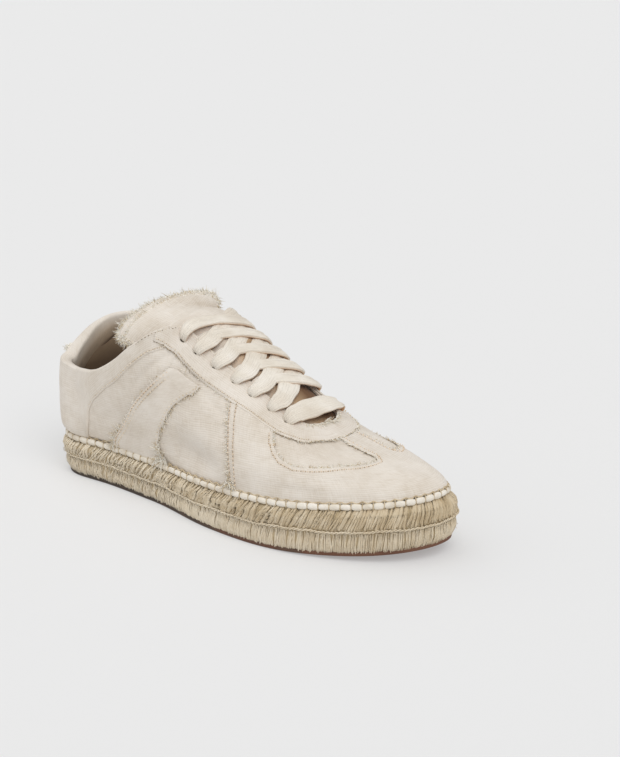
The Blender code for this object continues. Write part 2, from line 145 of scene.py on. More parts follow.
# The sole's outline at stations along its length. lateral and medial are the half widths
# that an ellipse of that station's fullness would have, and centre is its middle line.
SOLE = table(
    "along lateral medial centre thick",
    (0.00, 70.0, 66.0, 0.0, 24.9),
    (0.12, 42.6, 40.0, 1.0, 24.9),
    (0.30, 36.2, 34.0, 1.8, 24.9),
    (0.50, 45.6, 36.0, -0.5, 26.9),
    (0.68, 53.9, 49.0, 1.1, 28.7),
    (0.85, 56.3, 53.0, 3.7, 29.4),
    (1.00, 63.5, 56.0, 11.2, 29.4),
)

# The jute side, bottom to top: how far each level lies inside the outline, in mm.
TIERS = table(
    "level heel side toe",
    (0.00, 3.2, 1.2, 2.8),
    (0.20, 1.6, 0.6, 1.0),
    (0.45, 1.4, 1.0, 1.0),
    (0.50, 0.3, 0.0, 0.0),
    (0.57, 0.3, 0.0, 0.0),
    (0.62, 1.0, 1.0, 1.0),
    (0.80, -0.2, 0.1, 1.6),
    (1.00, 0.2, 0.6, 4.6),
)


def smooth(places, values, at):
    """A cubic through the values, whose slope at each place comes from its neighbours."""
    slopes = np.gradient(values, places)
    at = np.clip(at, places[0], places[-1])
    left = np.clip(np.searchsorted(places, at) - 1, 0, len(places) - 2)
    step = places[left + 1] - places[left]
    t = (at - places[left]) / step
    return (
        (2 * t**3 - 3 * t**2 + 1) * values[left]
        + (t**3 - 2 * t**2 + t) * step * slopes[left]
        + (3 * t**2 - 2 * t**3) * values[left + 1]
        + (t**3 - t**2) * step * slopes[left + 1]
    )


def read(rows, column, at):
    """A table's column between its rows, where the first column is the place."""
    places = np.array([row[0] for row in rows], float)
    values = np.array([getattr(row, column) for row in rows], float)
    return smooth(places, values, at)


def along(turn):
    """How far along the sole a turn is, from 0 at the heel to 1 at the toe."""
    return (1 - np.cos(np.radians(turn))) / 2


def outline(turn):
    """Points of the sole's outline, on the floor."""
    turn = np.asarray(turn, float)
    place = along(turn)
    half = np.where(turn % 360 < 180, read(SOLE, "lateral", place), read(SOLE, "medial", place))
    y = (read(SOLE, "centre", place) - half * np.sin(np.radians(turn))) * MM
    points = np.stack([(place - 0.5) * SOLE_LENGTH, y, np.zeros_like(y)], -1)
    return points - BOX_CENTRE


def unit(vectors):
    return vectors / np.linalg.norm(vectors, axis=-1, keepdims=True)


def outward(turn):
    """The level direction that faces out of the sole's outline."""
    tangent = outline(np.asarray(turn) + 1) - outline(np.asarray(turn) - 1)
    return unit(np.stack([tangent[..., 1], -tangent[..., 0], np.zeros(tangent.shape[:-1])], -1))


def edge(turn, inset, height):
    """Points at a height, that far inside the outline."""
    points = outline(turn) - outward(turn) * np.asarray(inset)[..., None]
    points[..., 2] = height
    return points


def spring(turn):
    """How far the sole's underside is off the floor."""
    return TOE_SPRING * (np.maximum(0, along(turn) - FLAT_TO) / (1 - FLAT_TO)) ** 2


def deck(turn):
    """Height of the jute sole's top."""
    return read(SOLE, "thick", along(turn)) * MM + spring(turn)


def tier_inset(level, turn):
    """How far the jute's side lies inside the outline at a level from 0 to 1."""
    place = along(turn)
    to_heel = np.maximum(0, 1 - place / 0.22)
    to_toe = np.maximum(0, (place - 0.72) / 0.28)
    inset = [read(TIERS, name, level) for name in ("heel", "side", "toe")]
    return (inset[0] * to_heel + inset[1] * (1 - to_heel - to_toe) + inset[2] * to_toe) * MM


def walked(points):
    """How far along a row of points each one lies."""
    return np.concatenate([[0], np.cumsum(np.linalg.norm(np.diff(points, axis=0), axis=1))])


def even_turns(count):
    """Turns that are an equal way apart along the sole's outline."""
    fine = np.linspace(0, 360, 1441)
    behind = walked(outline(fine))
    return np.interp(np.linspace(0, behind[-1], count), behind, fine)


def set_uv(mesh, u, v):
    """Lays the mesh's UV map from a u and a v for each vertex."""
    loops = np.empty(len(mesh.loops), np.int32)
    mesh.loops.foreach_get("vertex_index", loops)
    flat = np.stack([u, v], -1).reshape(-1, 2)[loops].astype(np.float32)
    layer = mesh.uv_layers.active or mesh.uv_layers.new(name="UVMap")
    layer.data.foreach_set("uv", flat.ravel())


def add_sheet(name, points):
    """A grid added flat, then laid on points[row, column]. Its UV map is in real metres."""
    rows, columns = points.shape[:2]
    bpy.ops.object.select_all(action="DESELECT")
    bpy.ops.mesh.primitive_grid_add(x_subdivisions=columns - 1, y_subdivisions=rows - 1, size=1)
    sheet = bpy.context.object
    sheet.name = name
    sheet.data.name = name
    sheet.data.vertices.foreach_set("co", points.astype(np.float32).ravel())
    across = np.linalg.norm(np.diff(points, axis=1), axis=2).mean(axis=0)
    up = np.linalg.norm(np.diff(points, axis=0), axis=2)
    u = np.broadcast_to(np.concatenate([[0], np.cumsum(across)]), (rows, columns))
    set_uv(sheet.data, u, np.concatenate([np.zeros((1, columns)), np.cumsum(up, axis=0)]))
    sheet.data.update()
    return sheet


def close_ring(sheet, capped=False):
    """Welds the first column to the last, and fills the two ends if it is to be capped."""
    bpy.context.view_layer.objects.active = sheet
    bpy.ops.object.mode_set(mode="EDIT")
    bpy.ops.mesh.select_all(action="SELECT")
    bpy.ops.mesh.remove_doubles(threshold=0.01 * MM)
    bpy.ops.mesh.normals_make_consistent(inside=False)
    if capped:
        bpy.ops.mesh.fill_holes(sides=0)
        bpy.ops.mesh.normals_make_consistent(inside=False)
    bpy.ops.object.mode_set(mode="OBJECT")


def finish(piece, material, slot, *nodes):
    """Smooth shading, its material, its body and the solids that it stands for. Its slot is not
    used.
    """
    piece.data.materials.clear()
    piece.data.materials.append(material)
    piece.data.polygons.foreach_set("use_smooth", [True] * len(piece.data.polygons))
    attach(piece, "root")
    if nodes:
        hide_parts(*nodes)


def add_node(tree, kind, settings=None, **inputs):
    """A shader node with its settings, and its inputs linked or set."""
    node = tree.nodes.new("ShaderNode" + kind)
    for name, value in (settings or {}).items():
        setattr(node, name, value)
    feed(tree, node, **inputs)
    return node


def colour_ramp(tree, factor, *stops):
    """A ramp over (position, hex) stops."""
    node = add_node(tree, "ValToRGB", _0=factor)
    bands = node.color_ramp.elements
    while len(bands) < len(stops):
        bands.new(0.5)
    for band, (position, code) in zip(bands, stops):
        band.position = position
        band.color = linear(code)
    return node.outputs["Color"]


MULTIPLY_ADD = {"operation": "MULTIPLY_ADD"}  # a value times a number, plus another value

# Vulcanised crepe rubber, rolled into sheet: matt, unevenly scuffed, and pebbled by a grain
# of about 0.8 mm. Its darkening towards the heel, against a redder toe, is painted shade.
crepe_rubber, tree, shader = add_material("rolled crepe rubber")
place = add_node(tree, "TexCoord").outputs["Object"]
scuffs = add_node(tree, "TexNoise", _0=place, Scale=60, Detail=4).outputs["Fac"]
grain = add_node(tree, "TexNoise", _0=place, Scale=1250, Detail=2).outputs["Fac"]
to_toe = add_node(tree, "SeparateXYZ", Vector=place).outputs["X"]
# Real scuffs, plus painted shade that darkens the rubber towards the heel.
wear_and_painted_shading = add_node(tree, "Math", MULTIPLY_ADD, _0=to_toe, _1=3.4, _2=scuffs).outputs[0]
shade = colour_ramp(tree, wear_and_painted_shading, (0.3, "443930"), (0.55, "5c4637"), (0.8, "6a4533"), (1.0, "724d39"))
bump = add_node(tree, "Bump", Height=grain, Strength=0.5, Distance=0.2 * MM).outputs["Normal"]
feed(tree, shader, Base_Color=shade, Normal=bump, Roughness=0.72)

# The sheet's side, bottom to top: the part of its thickness, and how far it lies inside the
# jute's foot in mm.
RUBBER_SIDE = [(0.0, 1.6), (0.0, 1.1), (0.08, 0.65), (0.3, 0.4), (0.8, 0.3), (1.0, 0.45)]
round_sole = even_turns(421)
rings = []
for part, inset in RUBBER_SIDE:
    height = spring(round_sole) + part * RUBBER_THICK
    rings.append(edge(round_sole, tier_inset(0, round_sole) + inset * MM, height))
outsole = add_sheet("rubber_outsole", np.stack(rings))
close_ring(outsole, capped=True)
finish(outsole, crepe_rubber, "rubber", "outsole")

# ---------------------------------------------------------------- jute sole
# Flat coils of jute braid, sewn into a slab. The side shows two courses: rough wraps above,
# which lean towards the toe, fine upright fibres below, and a twisted cord between them.

JUTE_TALL = 23  # the slab's height, in mm
CORD_LEVEL = 0.52  # where the cord runs, from the slab's bottom to its top
CORD_TWIST = 5.5 * MM
WRAP_PITCH = 1.55 * MM
WRAP_LEAN = 0.42  # how far a wrap leans along the sole for each unit of its height
FIBRE_PITCH = 0.55 * MM
LOOSE_FIBRES = 420
chance = np.random.default_rng(7)


def ripple(way, length, seed):
    """A soft wander along the way, from -1 to 1."""
    return (
        np.sin(2 * np.pi * way / length + seed)
        + 0.6 * np.sin(2 * np.pi * way / (length * 0.43) + 2.1 * seed)
        + 0.4 * np.sin(2 * np.pi * way / (length * 0.19) + 3.7 * seed)
    ) / 2


def jute_side(turn, level, proud):
    """Points that stand proud of the slab's side, at a level from its bottom to its top."""
    low = spring(turn) + RUBBER_THICK + GAP
    rounded = 1.6 * MM * np.clip((level - 0.78) / 0.22, 0, 1) ** 2
    rounded = rounded + 0.5 * MM * np.clip((0.1 - level) / 0.1, 0, 1) ** 2
    return edge(turn, tier_inset(level, turn) - proud + rounded, low + (deck(turn) - low) * level)


def add_mesh(name, points, faces):
    mesh = bpy.data.meshes.new(name)
    mesh.from_pydata(points.tolist(), [], faces)
    piece = bpy.data.objects.new(name, mesh)
    bpy.context.scene.collection.objects.link(piece)
    return piece


def mark(piece, name, values):
    """Gives each point of a piece a value that its material reads."""
    values = np.ravel(values).astype(np.float32)
    piece.data.attributes.new(name, "FLOAT", "POINT").data.foreach_set("value", values)


def lay_threads(name, paths, radii, sides=3, flat=1.0, tip=0.35, tones=None):
    """One mesh of tapering threads. paths is [thread, step, xyz], with a radius and a tone for
    each. Its UV map runs round each thread and along it, in metres."""
    paths = np.asarray(paths, float)
    radii = np.broadcast_to(np.asarray(radii, float), len(paths))
    count, steps = paths.shape[:2]
    ahead = unit(np.gradient(paths, axis=1) + 1e-9)
    helper = np.where(np.abs(ahead[..., 2:3]) > 0.8, unit(paths * (1, 1, 0)), (0, 0, 1.0))
    side = unit(np.cross(ahead, helper))
    lift = np.cross(side, ahead)
    taper = np.interp(np.linspace(0, 1, steps), [0, 0.15, 0.6, 1], [0.8, 1, 0.9, tip])
    size = (radii[:, None] * taper)[..., None]
    rings = []
    for k in range(sides):
        angle = 2 * math.pi * k / sides
        rings.append(paths + side * math.cos(angle) * size + lift * math.sin(angle) * size * flat)
    corner = np.arange(sides)
    ring = (np.arange(count)[:, None] * steps + np.arange(steps - 1))[..., None] * sides
    a, b = ring + corner, ring + (corner + 1) % sides
    walls = np.stack([a, a + sides, b + sides, b], -1).reshape(-1, 4).tolist()
    ends = np.arange(count)[:, None] * steps * sides + corner
    faces = walls + ends.tolist() + (ends[:, ::-1] + (steps - 1) * sides).tolist()
    piece = add_mesh(name, np.stack(rings, 2).reshape(-1, 3), faces)
    behind = np.cumsum(np.linalg.norm(np.diff(paths, axis=1), axis=2), axis=1)
    behind = np.concatenate([np.zeros((count, 1)), behind], 1)
    apart = 13 * MM  # so that no two threads wear the same pattern
    v = np.repeat(behind.reshape(-1), sides) + np.repeat(np.arange(count) * apart, steps * sides)
    u = np.tile(corner / sides, count * steps) * np.repeat(radii, steps * sides) * 6.28
    set_uv(piece.data, u, v)
    mark(piece, "tone", np.repeat(np.zeros(count) if tones is None else tones, steps * sides))
    return piece


def groove(level, middle):
    """How near a level is to the middle of a groove that runs round the slab."""
    return math.exp(-(((level - middle) / 0.05) ** 2))


turns_round = even_turns(481)
spans = ((0, 0.44, 8), (0.47, 0.57, 6), (0.6, 1.0, 9))
levels = np.concatenate([np.linspace(*span) for span in spans])
rings = []
for level in levels:
    sunk = 0.45 + (0.7 * groove(level, CORD_LEVEL) + 0.45 * groove(level, 1))
    rings.append(jute_side(turns_round, level, -sunk * MM * np.ones_like(turns_round)))
slab = add_sheet("jute_sole_slab", np.stack(rings))
close_ring(slab, capped=True)

sole_round = np.linalg.norm(np.diff(outline(turns_round), axis=0), axis=1).sum()
turn_each_mm = 360 / (sole_round / MM)


def rough(turn):
    """How untidy the braid is: more so round the heel than along the rest."""
    return 0.35 + 0.65 * np.clip((0.45 - along(turn)) / 0.3, 0, 1)


def lay_strands(row):
    """Strands of jute side by side round the slab."""
    count = int(sole_round / row.pitch)
    place = (np.arange(count) + chance.uniform(-0.35, 0.35, count)) / count
    foot = np.interp(place, np.linspace(0, 1, len(turns_round)), turns_round)
    messy = rough(foot)
    part = np.linspace(0, 1, row.steps)[None, :]
    bottom = row.low + chance.uniform(-0.03, 0.05, (count, 1)) * (0.5 + messy[:, None])
    top = row.high - chance.uniform(-0.01, 0.07, (count, 1)) * messy[:, None]
    level = bottom + (top - bottom) * part
    tall = (row.high - row.low) * JUTE_TALL
    lean = row.lean + chance.normal(0, 0.1, (count, 1)) * (0.3 + messy[:, None] * 1.7)
    bend = chance.normal(0, 0.25, (count, 1)) * np.sin(np.pi * part) * messy[:, None]
    turn = foot[:, None] + (lean * tall * part + bend * 2) * turn_each_mm
    bulge = row.bulge * np.sin(np.pi * part) ** 0.6
    proud = (chance.uniform(-0.14, 0.14, (count, 1)) + bulge - 0.35) * MM
    sizes = row.wide * MM * chance.uniform(0.7, 1.3, count) / 2
    # Rougher strands, towards the heel, are paler: partly painted light against the shade between
    # them.
    tones = chance.uniform(0, 1, count) + messy * 0.9 - row.dull * (1 - messy)
    paths = jute_side(turn, level, proud)
    return lay_threads("jute_" + row.name, paths, sizes, row.sides, row.flat, 0.6, tones)


# The wraps above the cord, fine ones among them, and the fibres below it. A strand runs from
# low to high, is wide mm across and stands bulge mm out in its middle, and its mesh has steps
# along it and sides round it. flat squashes it, and dull darkens it away from the heel.
COURSES = table(
    "name low high pitch lean wide bulge steps sides flat dull",
    ("wraps", 0.555, 1.03, WRAP_PITCH, WRAP_LEAN, 2.7, 0.7, 8, 8, 0.42, 1.7),
    ("fine_wraps", 0.56, 1.0, 0.95 * MM, WRAP_LEAN * 1.1, 0.55, 0.85, 6, 4, 0.7, 1.7),
    ("upright_fibres", -0.04, 0.49, FIBRE_PITCH, 0.05, 1.25, 0.45, 6, 6, 0.55, 0.0),
)
courses = [lay_strands(row) for row in COURSES]

# The twisted cord: two yarns that wind round each other, thinned and hidden at the heel.
CORD_STEPS = 1400
cord_turns = even_turns(CORD_STEPS)
cord_way = np.linspace(0, sole_round, CORD_STEPS)
cords = []
for strand_phase in (0, math.pi):
    angle = 2 * math.pi * cord_way / CORD_TWIST + strand_phase
    level = CORD_LEVEL + 0.03 * ripple(cord_way, 57 * MM, 1.0) + 0.02 * np.sin(angle)
    sunk = 0.55 * (rough(cord_turns) - 0.35)
    proud = -0.1 + 0.34 * np.cos(angle) + 0.2 * ripple(cord_way, 27 * MM, 3.0) - sunk
    cords.append(jute_side(cord_turns, level, proud * MM))
cord = lay_threads("jute_cord", cords, 0.5 * MM, 5, 1.0, 1.0, np.array([0.85, 1.0]))

# Loose fibres that have worked out of the braid and lie over it.
for_each = (LOOSE_FIBRES, 1)
foot = chance.uniform(0, 360, for_each)
part = np.linspace(0, 1, 6)[None, :]
first = chance.uniform(0.1, 0.95, for_each)
level = np.clip(first + chance.uniform(-0.4, 0.4, for_each) * part, 0.01, 1.02)
lean = chance.normal(0, 3.4, for_each)
curl = chance.normal(0, 1.2, for_each)
turn = foot + (lean * part + curl * part**2) * turn_each_mm
proud = (0.35 + chance.uniform(0.0, 1.2, for_each) * np.sin(np.pi * part * 0.8)) * MM
sizes = chance.uniform(0.09, 0.19, LOOSE_FIBRES) * MM
tones = chance.uniform(0.5, 1.3, LOOSE_FIBRES)
loose = lay_threads("jute_loose_fibres", jute_side(turn, level, proud), sizes, tip=0.4, tones=tones)


# Raw jute, spun and braided: straw coloured, in fibres about 0.2 mm thick that run along its
# strands, each strand a little paler or browner than the next. It is paler towards the heel
# and browner towards the toe: the heel's paleness is partly painted light against the shade
# between its rough strands there.
def straw_jute(name, *shades):
    """Jute in four shades, from its darkest to its palest."""
    made, tree, shader = add_material(name)
    along_it = add_node(tree, "UVMap").outputs["UV"]
    place = add_node(tree, "TexCoord").outputs["Object"]
    fibre_way = add_node(tree, "Mapping", Vector=along_it, Scale=(4200, 130, 1)).outputs[0]
    fibres = add_node(tree, "TexNoise", _0=fibre_way, Scale=1.0, Detail=2).outputs["Fac"]
    patches = add_node(tree, "TexNoise", _0=place, Scale=75, Detail=4).outputs["Fac"]
    tone = add_node(tree, "Attribute", {"attribute_name": "tone"}).outputs["Fac"]
    to_toe = add_node(tree, "SeparateXYZ", Vector=place).outputs["X"]
    strands = add_node(tree, "Math", MULTIPLY_ADD, _0=tone, _1=0.24, _2=fibres).outputs[0]
    patched = add_node(tree, "Math", MULTIPLY_ADD, _0=patches, _1=0.9, _2=strands).outputs[0]
    # Paler towards the heel: partly painted light.
    wear_and_painted_shading = add_node(tree, "Math", MULTIPLY_ADD, _0=to_toe, _1=-0.8, _2=0.13).outputs[0]
    mixed = add_node(tree, "Math", MULTIPLY_ADD, _0=patched, _1=0.5, _2=wear_and_painted_shading).outputs[0]
    shade = colour_ramp(tree, mixed, *zip((0.3, 0.42, 0.55, 0.72), shades))
    bump = add_node(tree, "Bump", Height=fibres, Strength=0.8, Distance=0.4 * MM).outputs["Normal"]
    feed(tree, shader, Base_Color=shade, Normal=bump, Roughness=0.95)
    return made


# The slab shows only between the strands. Its darker shades are painted shade in the gaps.
raw_jute = straw_jute("spun raw jute", "b5a07e", "cdb998", "dccbae", "ecdfc8")
gap_shaded_jute = straw_jute("raw jute darkened as painted gap shade", "b39d78", "c1ad88", "cebb98", "d9c9aa")
finish(slab, gap_shaded_jute, "jute", "jute_sole")
for piece in (*courses, cord, loose):
    finish(piece, raw_jute, "jute")

# ---------------------------------------------------------------- whip stitch
# Thick off-white cotton yarn in a blanket stitch ties the canvas to the jute: a plump bar
# between each two loops, and a thinner loop over the canvas's edge at each stitch.

WHIP_INSET = 0.5 * MM
WHIP_DEEP = 2.7 * MM
WHIP_STITCHES = 96
PANEL_GAP = 0.5 * MM
FOOT_BAND = 4.6 * MM  # height of canvas behind the stitches
BAR_LONG = 7.3 * MM
BAR_TALL = 4.3 * MM
EDGING_STEPS = 14  # steps of the tan edging from one stitch to the next
UP = np.array((0, 0, 1.0))


def whip_inset(turn):
    return tier_inset(1, turn) + WHIP_INSET


def frames(places, heading, up):
    """Matrices that set a model's X along heading and its Z as near to up as it goes."""
    x = unit(heading)
    y = unit(np.cross(up, x))
    z = np.cross(x, y)
    matrices = np.zeros((len(places), 4, 4))
    matrices[:, :3, 0], matrices[:, :3, 1], matrices[:, :3, 2] = x, y, z
    matrices[:, :3, 3] = places
    matrices[:, 3, 3] = 1
    return matrices


def lay_copies(name, model, matrices, sizes=None):
    """One mesh of copies of the model, each set and sized by its matrix and its size."""
    count = len(model.data.vertices)
    points = np.empty(count * 3, np.float32)
    model.data.vertices.foreach_get("co", points)
    points = points.reshape(-1, 3)
    faces = [tuple(face.vertices) for face in model.data.polygons]
    laid = []
    for i, matrix in enumerate(matrices):
        scaled = points if sizes is None else points * sizes[i]
        laid.append(scaled @ matrix[:3, :3].T + matrix[:3, 3])
    faces = [tuple(v + i * count for v in face) for i in range(len(matrices)) for face in faces]
    bpy.data.objects.remove(model, do_unlink=True)
    return add_mesh(name, np.concatenate(laid), faces)


def add_ball(segments, ring_count, radius, scale=(1, 1, 1), turned=False):
    """A ball to shape a stitch from, its poles turned to X where it is to lie along a seam."""
    bpy.ops.object.select_all(action="DESELECT")
    bpy.ops.mesh.primitive_uv_sphere_add(
        segments=segments,
        ring_count=ring_count,
        radius=radius,
        rotation=(0, math.pi / 2 if turned else 0, 0),
    )
    ball = bpy.context.object
    ball.scale = scale
    bpy.ops.object.transform_apply(location=False, rotation=True, scale=True)
    return ball


stitch_turns = even_turns(WHIP_STITCHES + 1)[:-1]
next_turns = np.append(stitch_turns[1:], 360)
bar_turns = (stitch_turns + next_turns) / 2
bar = add_ball(10, 8, 1, turned=True)
for vertex in bar.data.vertices:
    x, y, z = vertex.co
    full = (1 - abs(x) ** 3.2) ** 0.5 if abs(x) < 1 else 0
    spread = math.hypot(y, z) or 1
    fat = 0 if abs(x) > 0.999 else 0.38 + 0.62 * full
    across = y / spread * fat * WHIP_DEEP * 0.58
    vertex.co = (x * BAR_LONG / 2, across, z / spread * fat * BAR_TALL / 2)


def beside_canvas(turn, part):
    """Points at a bar's middle height, a part of the yarn's depth inside its outer face."""
    return edge(turn, whip_inset(turn) + WHIP_DEEP * part, deck(turn) + GAP + BAR_TALL * 0.5)


middle = beside_canvas(bar_turns, 0.52)
ends = beside_canvas(next_turns, 0.5)
starts = np.roll(ends, 1, axis=0)
stretched = np.linalg.norm(ends - starts, axis=1) / BAR_LONG * 1.02
size_each = np.stack([stretched, *(1 + 0.12 * chance.uniform(-1, 1, (2, WHIP_STITCHES)))], 1)
tilt = np.zeros((WHIP_STITCHES, 3))
tilt[:, 2] = chance.uniform(-0.09, 0.05, WHIP_STITCHES)
matrices = frames(middle, unit(ends - starts) + tilt, UP)
whip_bars = lay_copies("whip_stitch_bars", bar, matrices, size_each)
loops = []
for turn, slant in zip(stitch_turns, chance.uniform(-0.1, 0.35, WHIP_STITCHES)):
    turn_step = np.array([-0.5, -0.3, 0.0, 0.3, 0.55]) * slant
    inset = np.array([1.4, 0.75, 0.55, 0.9, 2.2]) * MM + whip_inset(turn)
    height = np.array([-0.4, 0.9, 2.6, 4.3, 5.5]) * MM + deck(turn)
    loops.append(edge(turn + turn_step, inset, height))
sizes = chance.uniform(0.38, 0.5, WHIP_STITCHES) * MM
whip_loops = lay_threads("whip_stitch_loops", loops, sizes, sides=6, tip=0.9)

# A thin tan yarn holds the canvas's edge: it is drawn up at each stitch and sags between them.
edging_turns = even_turns(WHIP_STITCHES * EDGING_STEPS + 1)
step = np.arange(len(edging_turns))
drawn_up = np.abs(np.cos(np.pi * ((step % EDGING_STEPS) / EDGING_STEPS))) ** 2.2
height = deck(edging_turns) + (4.45 + 1.15 * drawn_up + 0.15 * ripple(step, 90, 2.0)) * MM
inset = whip_inset(edging_turns) + (1.75 + 0.35 * drawn_up) * MM
edging = edge(edging_turns, inset, height)
edging = lay_threads("whip_stitch_edging", [edging], 0.5 * MM, 6, 1.0, 1.0)

# Mercerised cotton yarn, laid in thick soft plies: creamy white, matt, with its plies leaning
# about 1 mm apart.
cotton_yarn, tree, shader = add_material("laid cotton yarn")
place = add_node(tree, "TexCoord").outputs["Object"]
plies = add_node(tree, "TexNoise", _0=place, Scale=900, Detail=2).outputs["Fac"]
soil = add_node(tree, "TexNoise", _0=place, Scale=90, Detail=3).outputs["Fac"]
shade = colour_ramp(tree, soil, (0.3, "d9cdba"), (0.5, "eae2d4"), (0.7, "f4eee4"))
bump = add_node(tree, "Bump", Height=plies, Strength=0.6, Distance=0.4 * MM).outputs["Normal"]
feed(tree, shader, Base_Color=shade, Normal=bump, Roughness=0.85)
finish(whip_bars, cotton_yarn, "whip_yarn", "whip_stitch")


def soft_thread(name, pale, deep, patch=400, detail=2, roughness=0.85):
    """Spun cotton thread: matt, a little paler and deeper in patches from its twist and wear."""
    made, tree, shader = add_material(name)
    place = add_node(tree, "TexCoord").outputs["Object"]
    soil = add_node(tree, "TexNoise", _0=place, Scale=patch, Detail=detail).outputs["Fac"]
    shade = colour_ramp(tree, soil, (0.35, deep), (0.65, pale))
    feed(tree, shader, Base_Color=shade, Roughness=roughness)
    return made


# The loops and the edging are of thinner, waxed yarn, a little glossier. Their tan is partly
# the yarn's own and partly painted shade, for the dark lines between the bars and along the
# canvas's edge.
tan_yarn = soft_thread("waxed tan cotton yarn", "d9c9ad", "b5a07e", 260, 3, 0.8)
finish(whip_loops, tan_yarn, "whip_yarn")
finish(edging, tan_yarn, "whip_yarn")

# ---------------------------------------------------------------- insole
# A thin foam footbed covered in cotton twill, slightly dished, which lies on the jute deck.

INSOLE_THICK = 3.0 * MM

# The footbed's side and top, from below: the part of its thickness, and how far it lies
# inside the jute's top edge. The dished middle closes in on it in three last steps.
INSOLE_SIDE = [(0, 6.4), (0.5, 6.2), (0.85, 6.5), (1.0, 7.6), (1.0, 10), (0.95, 14), (0.9, 20)]
round_insole = even_turns(301)
rings = []
for part, inset in INSOLE_SIDE:
    height = deck(round_insole) + GAP + INSOLE_THICK * part
    rings.append(edge(round_insole, tier_inset(1, round_insole) + inset * MM, height))
inner = rings[-1]
for part in (0.6, 0.3, 0.08):
    rings.append(inner * (part, part, 1) + np.mean(inner, axis=0) * (1 - part, 1 - part, 0))
insole = add_sheet("insole_footbed", np.stack(rings))
close_ring(insole, capped=True)

# Cotton twill lining: greige, its diagonal ribs about 1 mm apart, drawn coarser than life.
cotton_twill, tree, shader = add_material("woven cotton twill")
place = add_node(tree, "TexCoord").outputs["Object"]
turned = add_node(tree, "Mapping", Vector=place, Rotation=(0.6, 0.5, 0.7)).outputs[0]
ribs = add_node(tree, "TexWave", _0=turned, Scale=320, Distortion=0.6).outputs["Fac"]
soil = add_node(tree, "TexNoise", _0=place, Scale=70, Detail=3).outputs["Fac"]
shade = colour_ramp(tree, soil, (0.3, "a89a88"), (0.5, "c2b5a4"), (0.7, "cfc4b4"))
bump = add_node(tree, "Bump", Height=ribs, Strength=0.35, Distance=0.3 * MM).outputs["Normal"]
feed(tree, shader, Base_Color=shade, Normal=bump, Roughness=0.9)
finish(insole, cotton_twill, "lining", "insole")

# ---------------------------------------------------------------- canvas upper
# Two plies of undyed canvas, lasted over the foot into one hollow wall: open at the collar,
# the throat and underneath. Its folds are soft, and its inside is lined with cotton twill.

WALL = 1.4 * MM

# The upper's sections, one for each turn. top_x, top_y and top_z are its edge at the collar or
# the throat, in mm. lean_low and lean_high are how far it leans out of the upright at its foot
# and at its edge, in degrees, and reach_low and reach_high are how long it holds those leans.
UPPER = table(
    "turn top_x top_y top_z lean_low reach_low lean_high reach_high",
    (0, -152.5, 0, 76, 38, 17, 8, 16),
    (15, -148.5, -10, 75, 40, 17, 8, 16),
    (30, -136, -18, 75, 40, 17, 8, 16),
    (42, -120, -23.5, 76, 36, 17, 10, 16),
    (54, -101, -29, 81, 30, 17, 8, 14),
    (63, -84, -31.5, 92, 22, 18, 8, 16),
    (69, -69, -31.5, 105, 18, 22, 9, 17),
    (73, -54, -28.5, 116, 15, 25, 16, 20),
    (79, -39, -14, 118.5, 12, 26, 44, 24),
    (85, -23, -13.5, 109.5, 11, 25, 48, 22),
    (94, -3, -13, 99.3, 10, 23, 54, 22),
    (104, 18, -12.5, 88.6, 9, 22, 57, 22),
    (114, 37, -12, 78.9, 8, 20, 60, 22),
    (124, 50, -11, 72.5, 6, 18, 63, 24),
    (140, 57, -7, 70, -4, 13, 70, 26),
    (180, 61, 5, 69, -30, 11, 66, 34),
    (220, 59, 16, 69.5, -8, 12, 68, 24),
    (236, 52, 22, 72.5, 4, 16, 60, 20),
    (246, 40, 24, 78.9, 4, 18, 54, 19),
    (256, 21, 26, 88.6, 5, 20, 46, 19),
    (266, 0, 28, 99.3, 6, 22, 38, 19),
    (275, -20, 30, 109, 7, 24, 30, 19),
    (281, -37, 32, 116, 8, 26, 22, 20),
    (287, -53, 36, 115, 10, 25, 10, 20),
    (291, -69, 37.5, 110, 13, 22, 4, 20),
    (297, -92, 38, 104, 18, 18, 2, 16),
    (306, -118, 36, 102, 26, 16, 0, 14),
    (318, -135, 30, 99, 30, 15, 0, 14),
    (330, -144.5, 22, 93.5, 34, 15, 4, 14),
    (345, -150.5, 11, 84.5, 36, 16, 8, 14),
)
AROUND = [r._replace(turn=r.turn - 360) for r in UPPER[-3:]] + UPPER
AROUND += [r._replace(turn=r.turn + 360) for r in UPPER[:3]]


def leaning(turn, degrees):
    """A direction that leans out of the upright, away from the shoe."""
    lean = np.radians(degrees)[..., None]
    return outward(turn) * np.sin(lean) + UP * np.cos(lean)


def upper_top(turn):
    point = np.stack([read(AROUND, name, turn % 360) for name in ("top_x", "top_y", "top_z")], -1)
    return point * MM - BOX_CENTRE


def upper_at(turn, rise):
    """Points of the canvas's outer face. A rise below 0 runs down behind the whip stitches."""
    turn, rise = np.broadcast_arrays(np.asarray(turn, float), np.asarray(rise, float))
    inset = whip_inset(turn) + WHIP_DEEP + PANEL_GAP
    foot = edge(turn, inset, deck(turn) + GAP + FOOT_BAND)
    top = upper_top(turn)
    look = {name: read(AROUND, name, turn % 360) for name in UPPER[0]._fields[4:]}
    b = foot + leaning(turn, look["lean_low"]) * look["reach_low"][..., None] * MM
    c = top - leaning(turn, -look["lean_high"]) * look["reach_high"][..., None] * MM
    t = np.clip(rise, 0, None)[..., None]
    left = 1 - t
    point = foot * left**3 + b * 3 * left**2 * t + c * 3 * left * t**2 + top * t**3
    point[..., 2] += FOOT_BAND * np.minimum(rise, 0)
    return point


def upper_out(turn, rise):
    """The canvas's outward normal."""
    rise = np.clip(rise, 0.01, 0.99)
    round_it = upper_at(turn + 0.5, rise) - upper_at(turn - 0.5, rise)
    up_it = upper_at(turn, rise + 0.01) - upper_at(turn, rise - 0.01)
    return unit(np.cross(round_it, up_it))
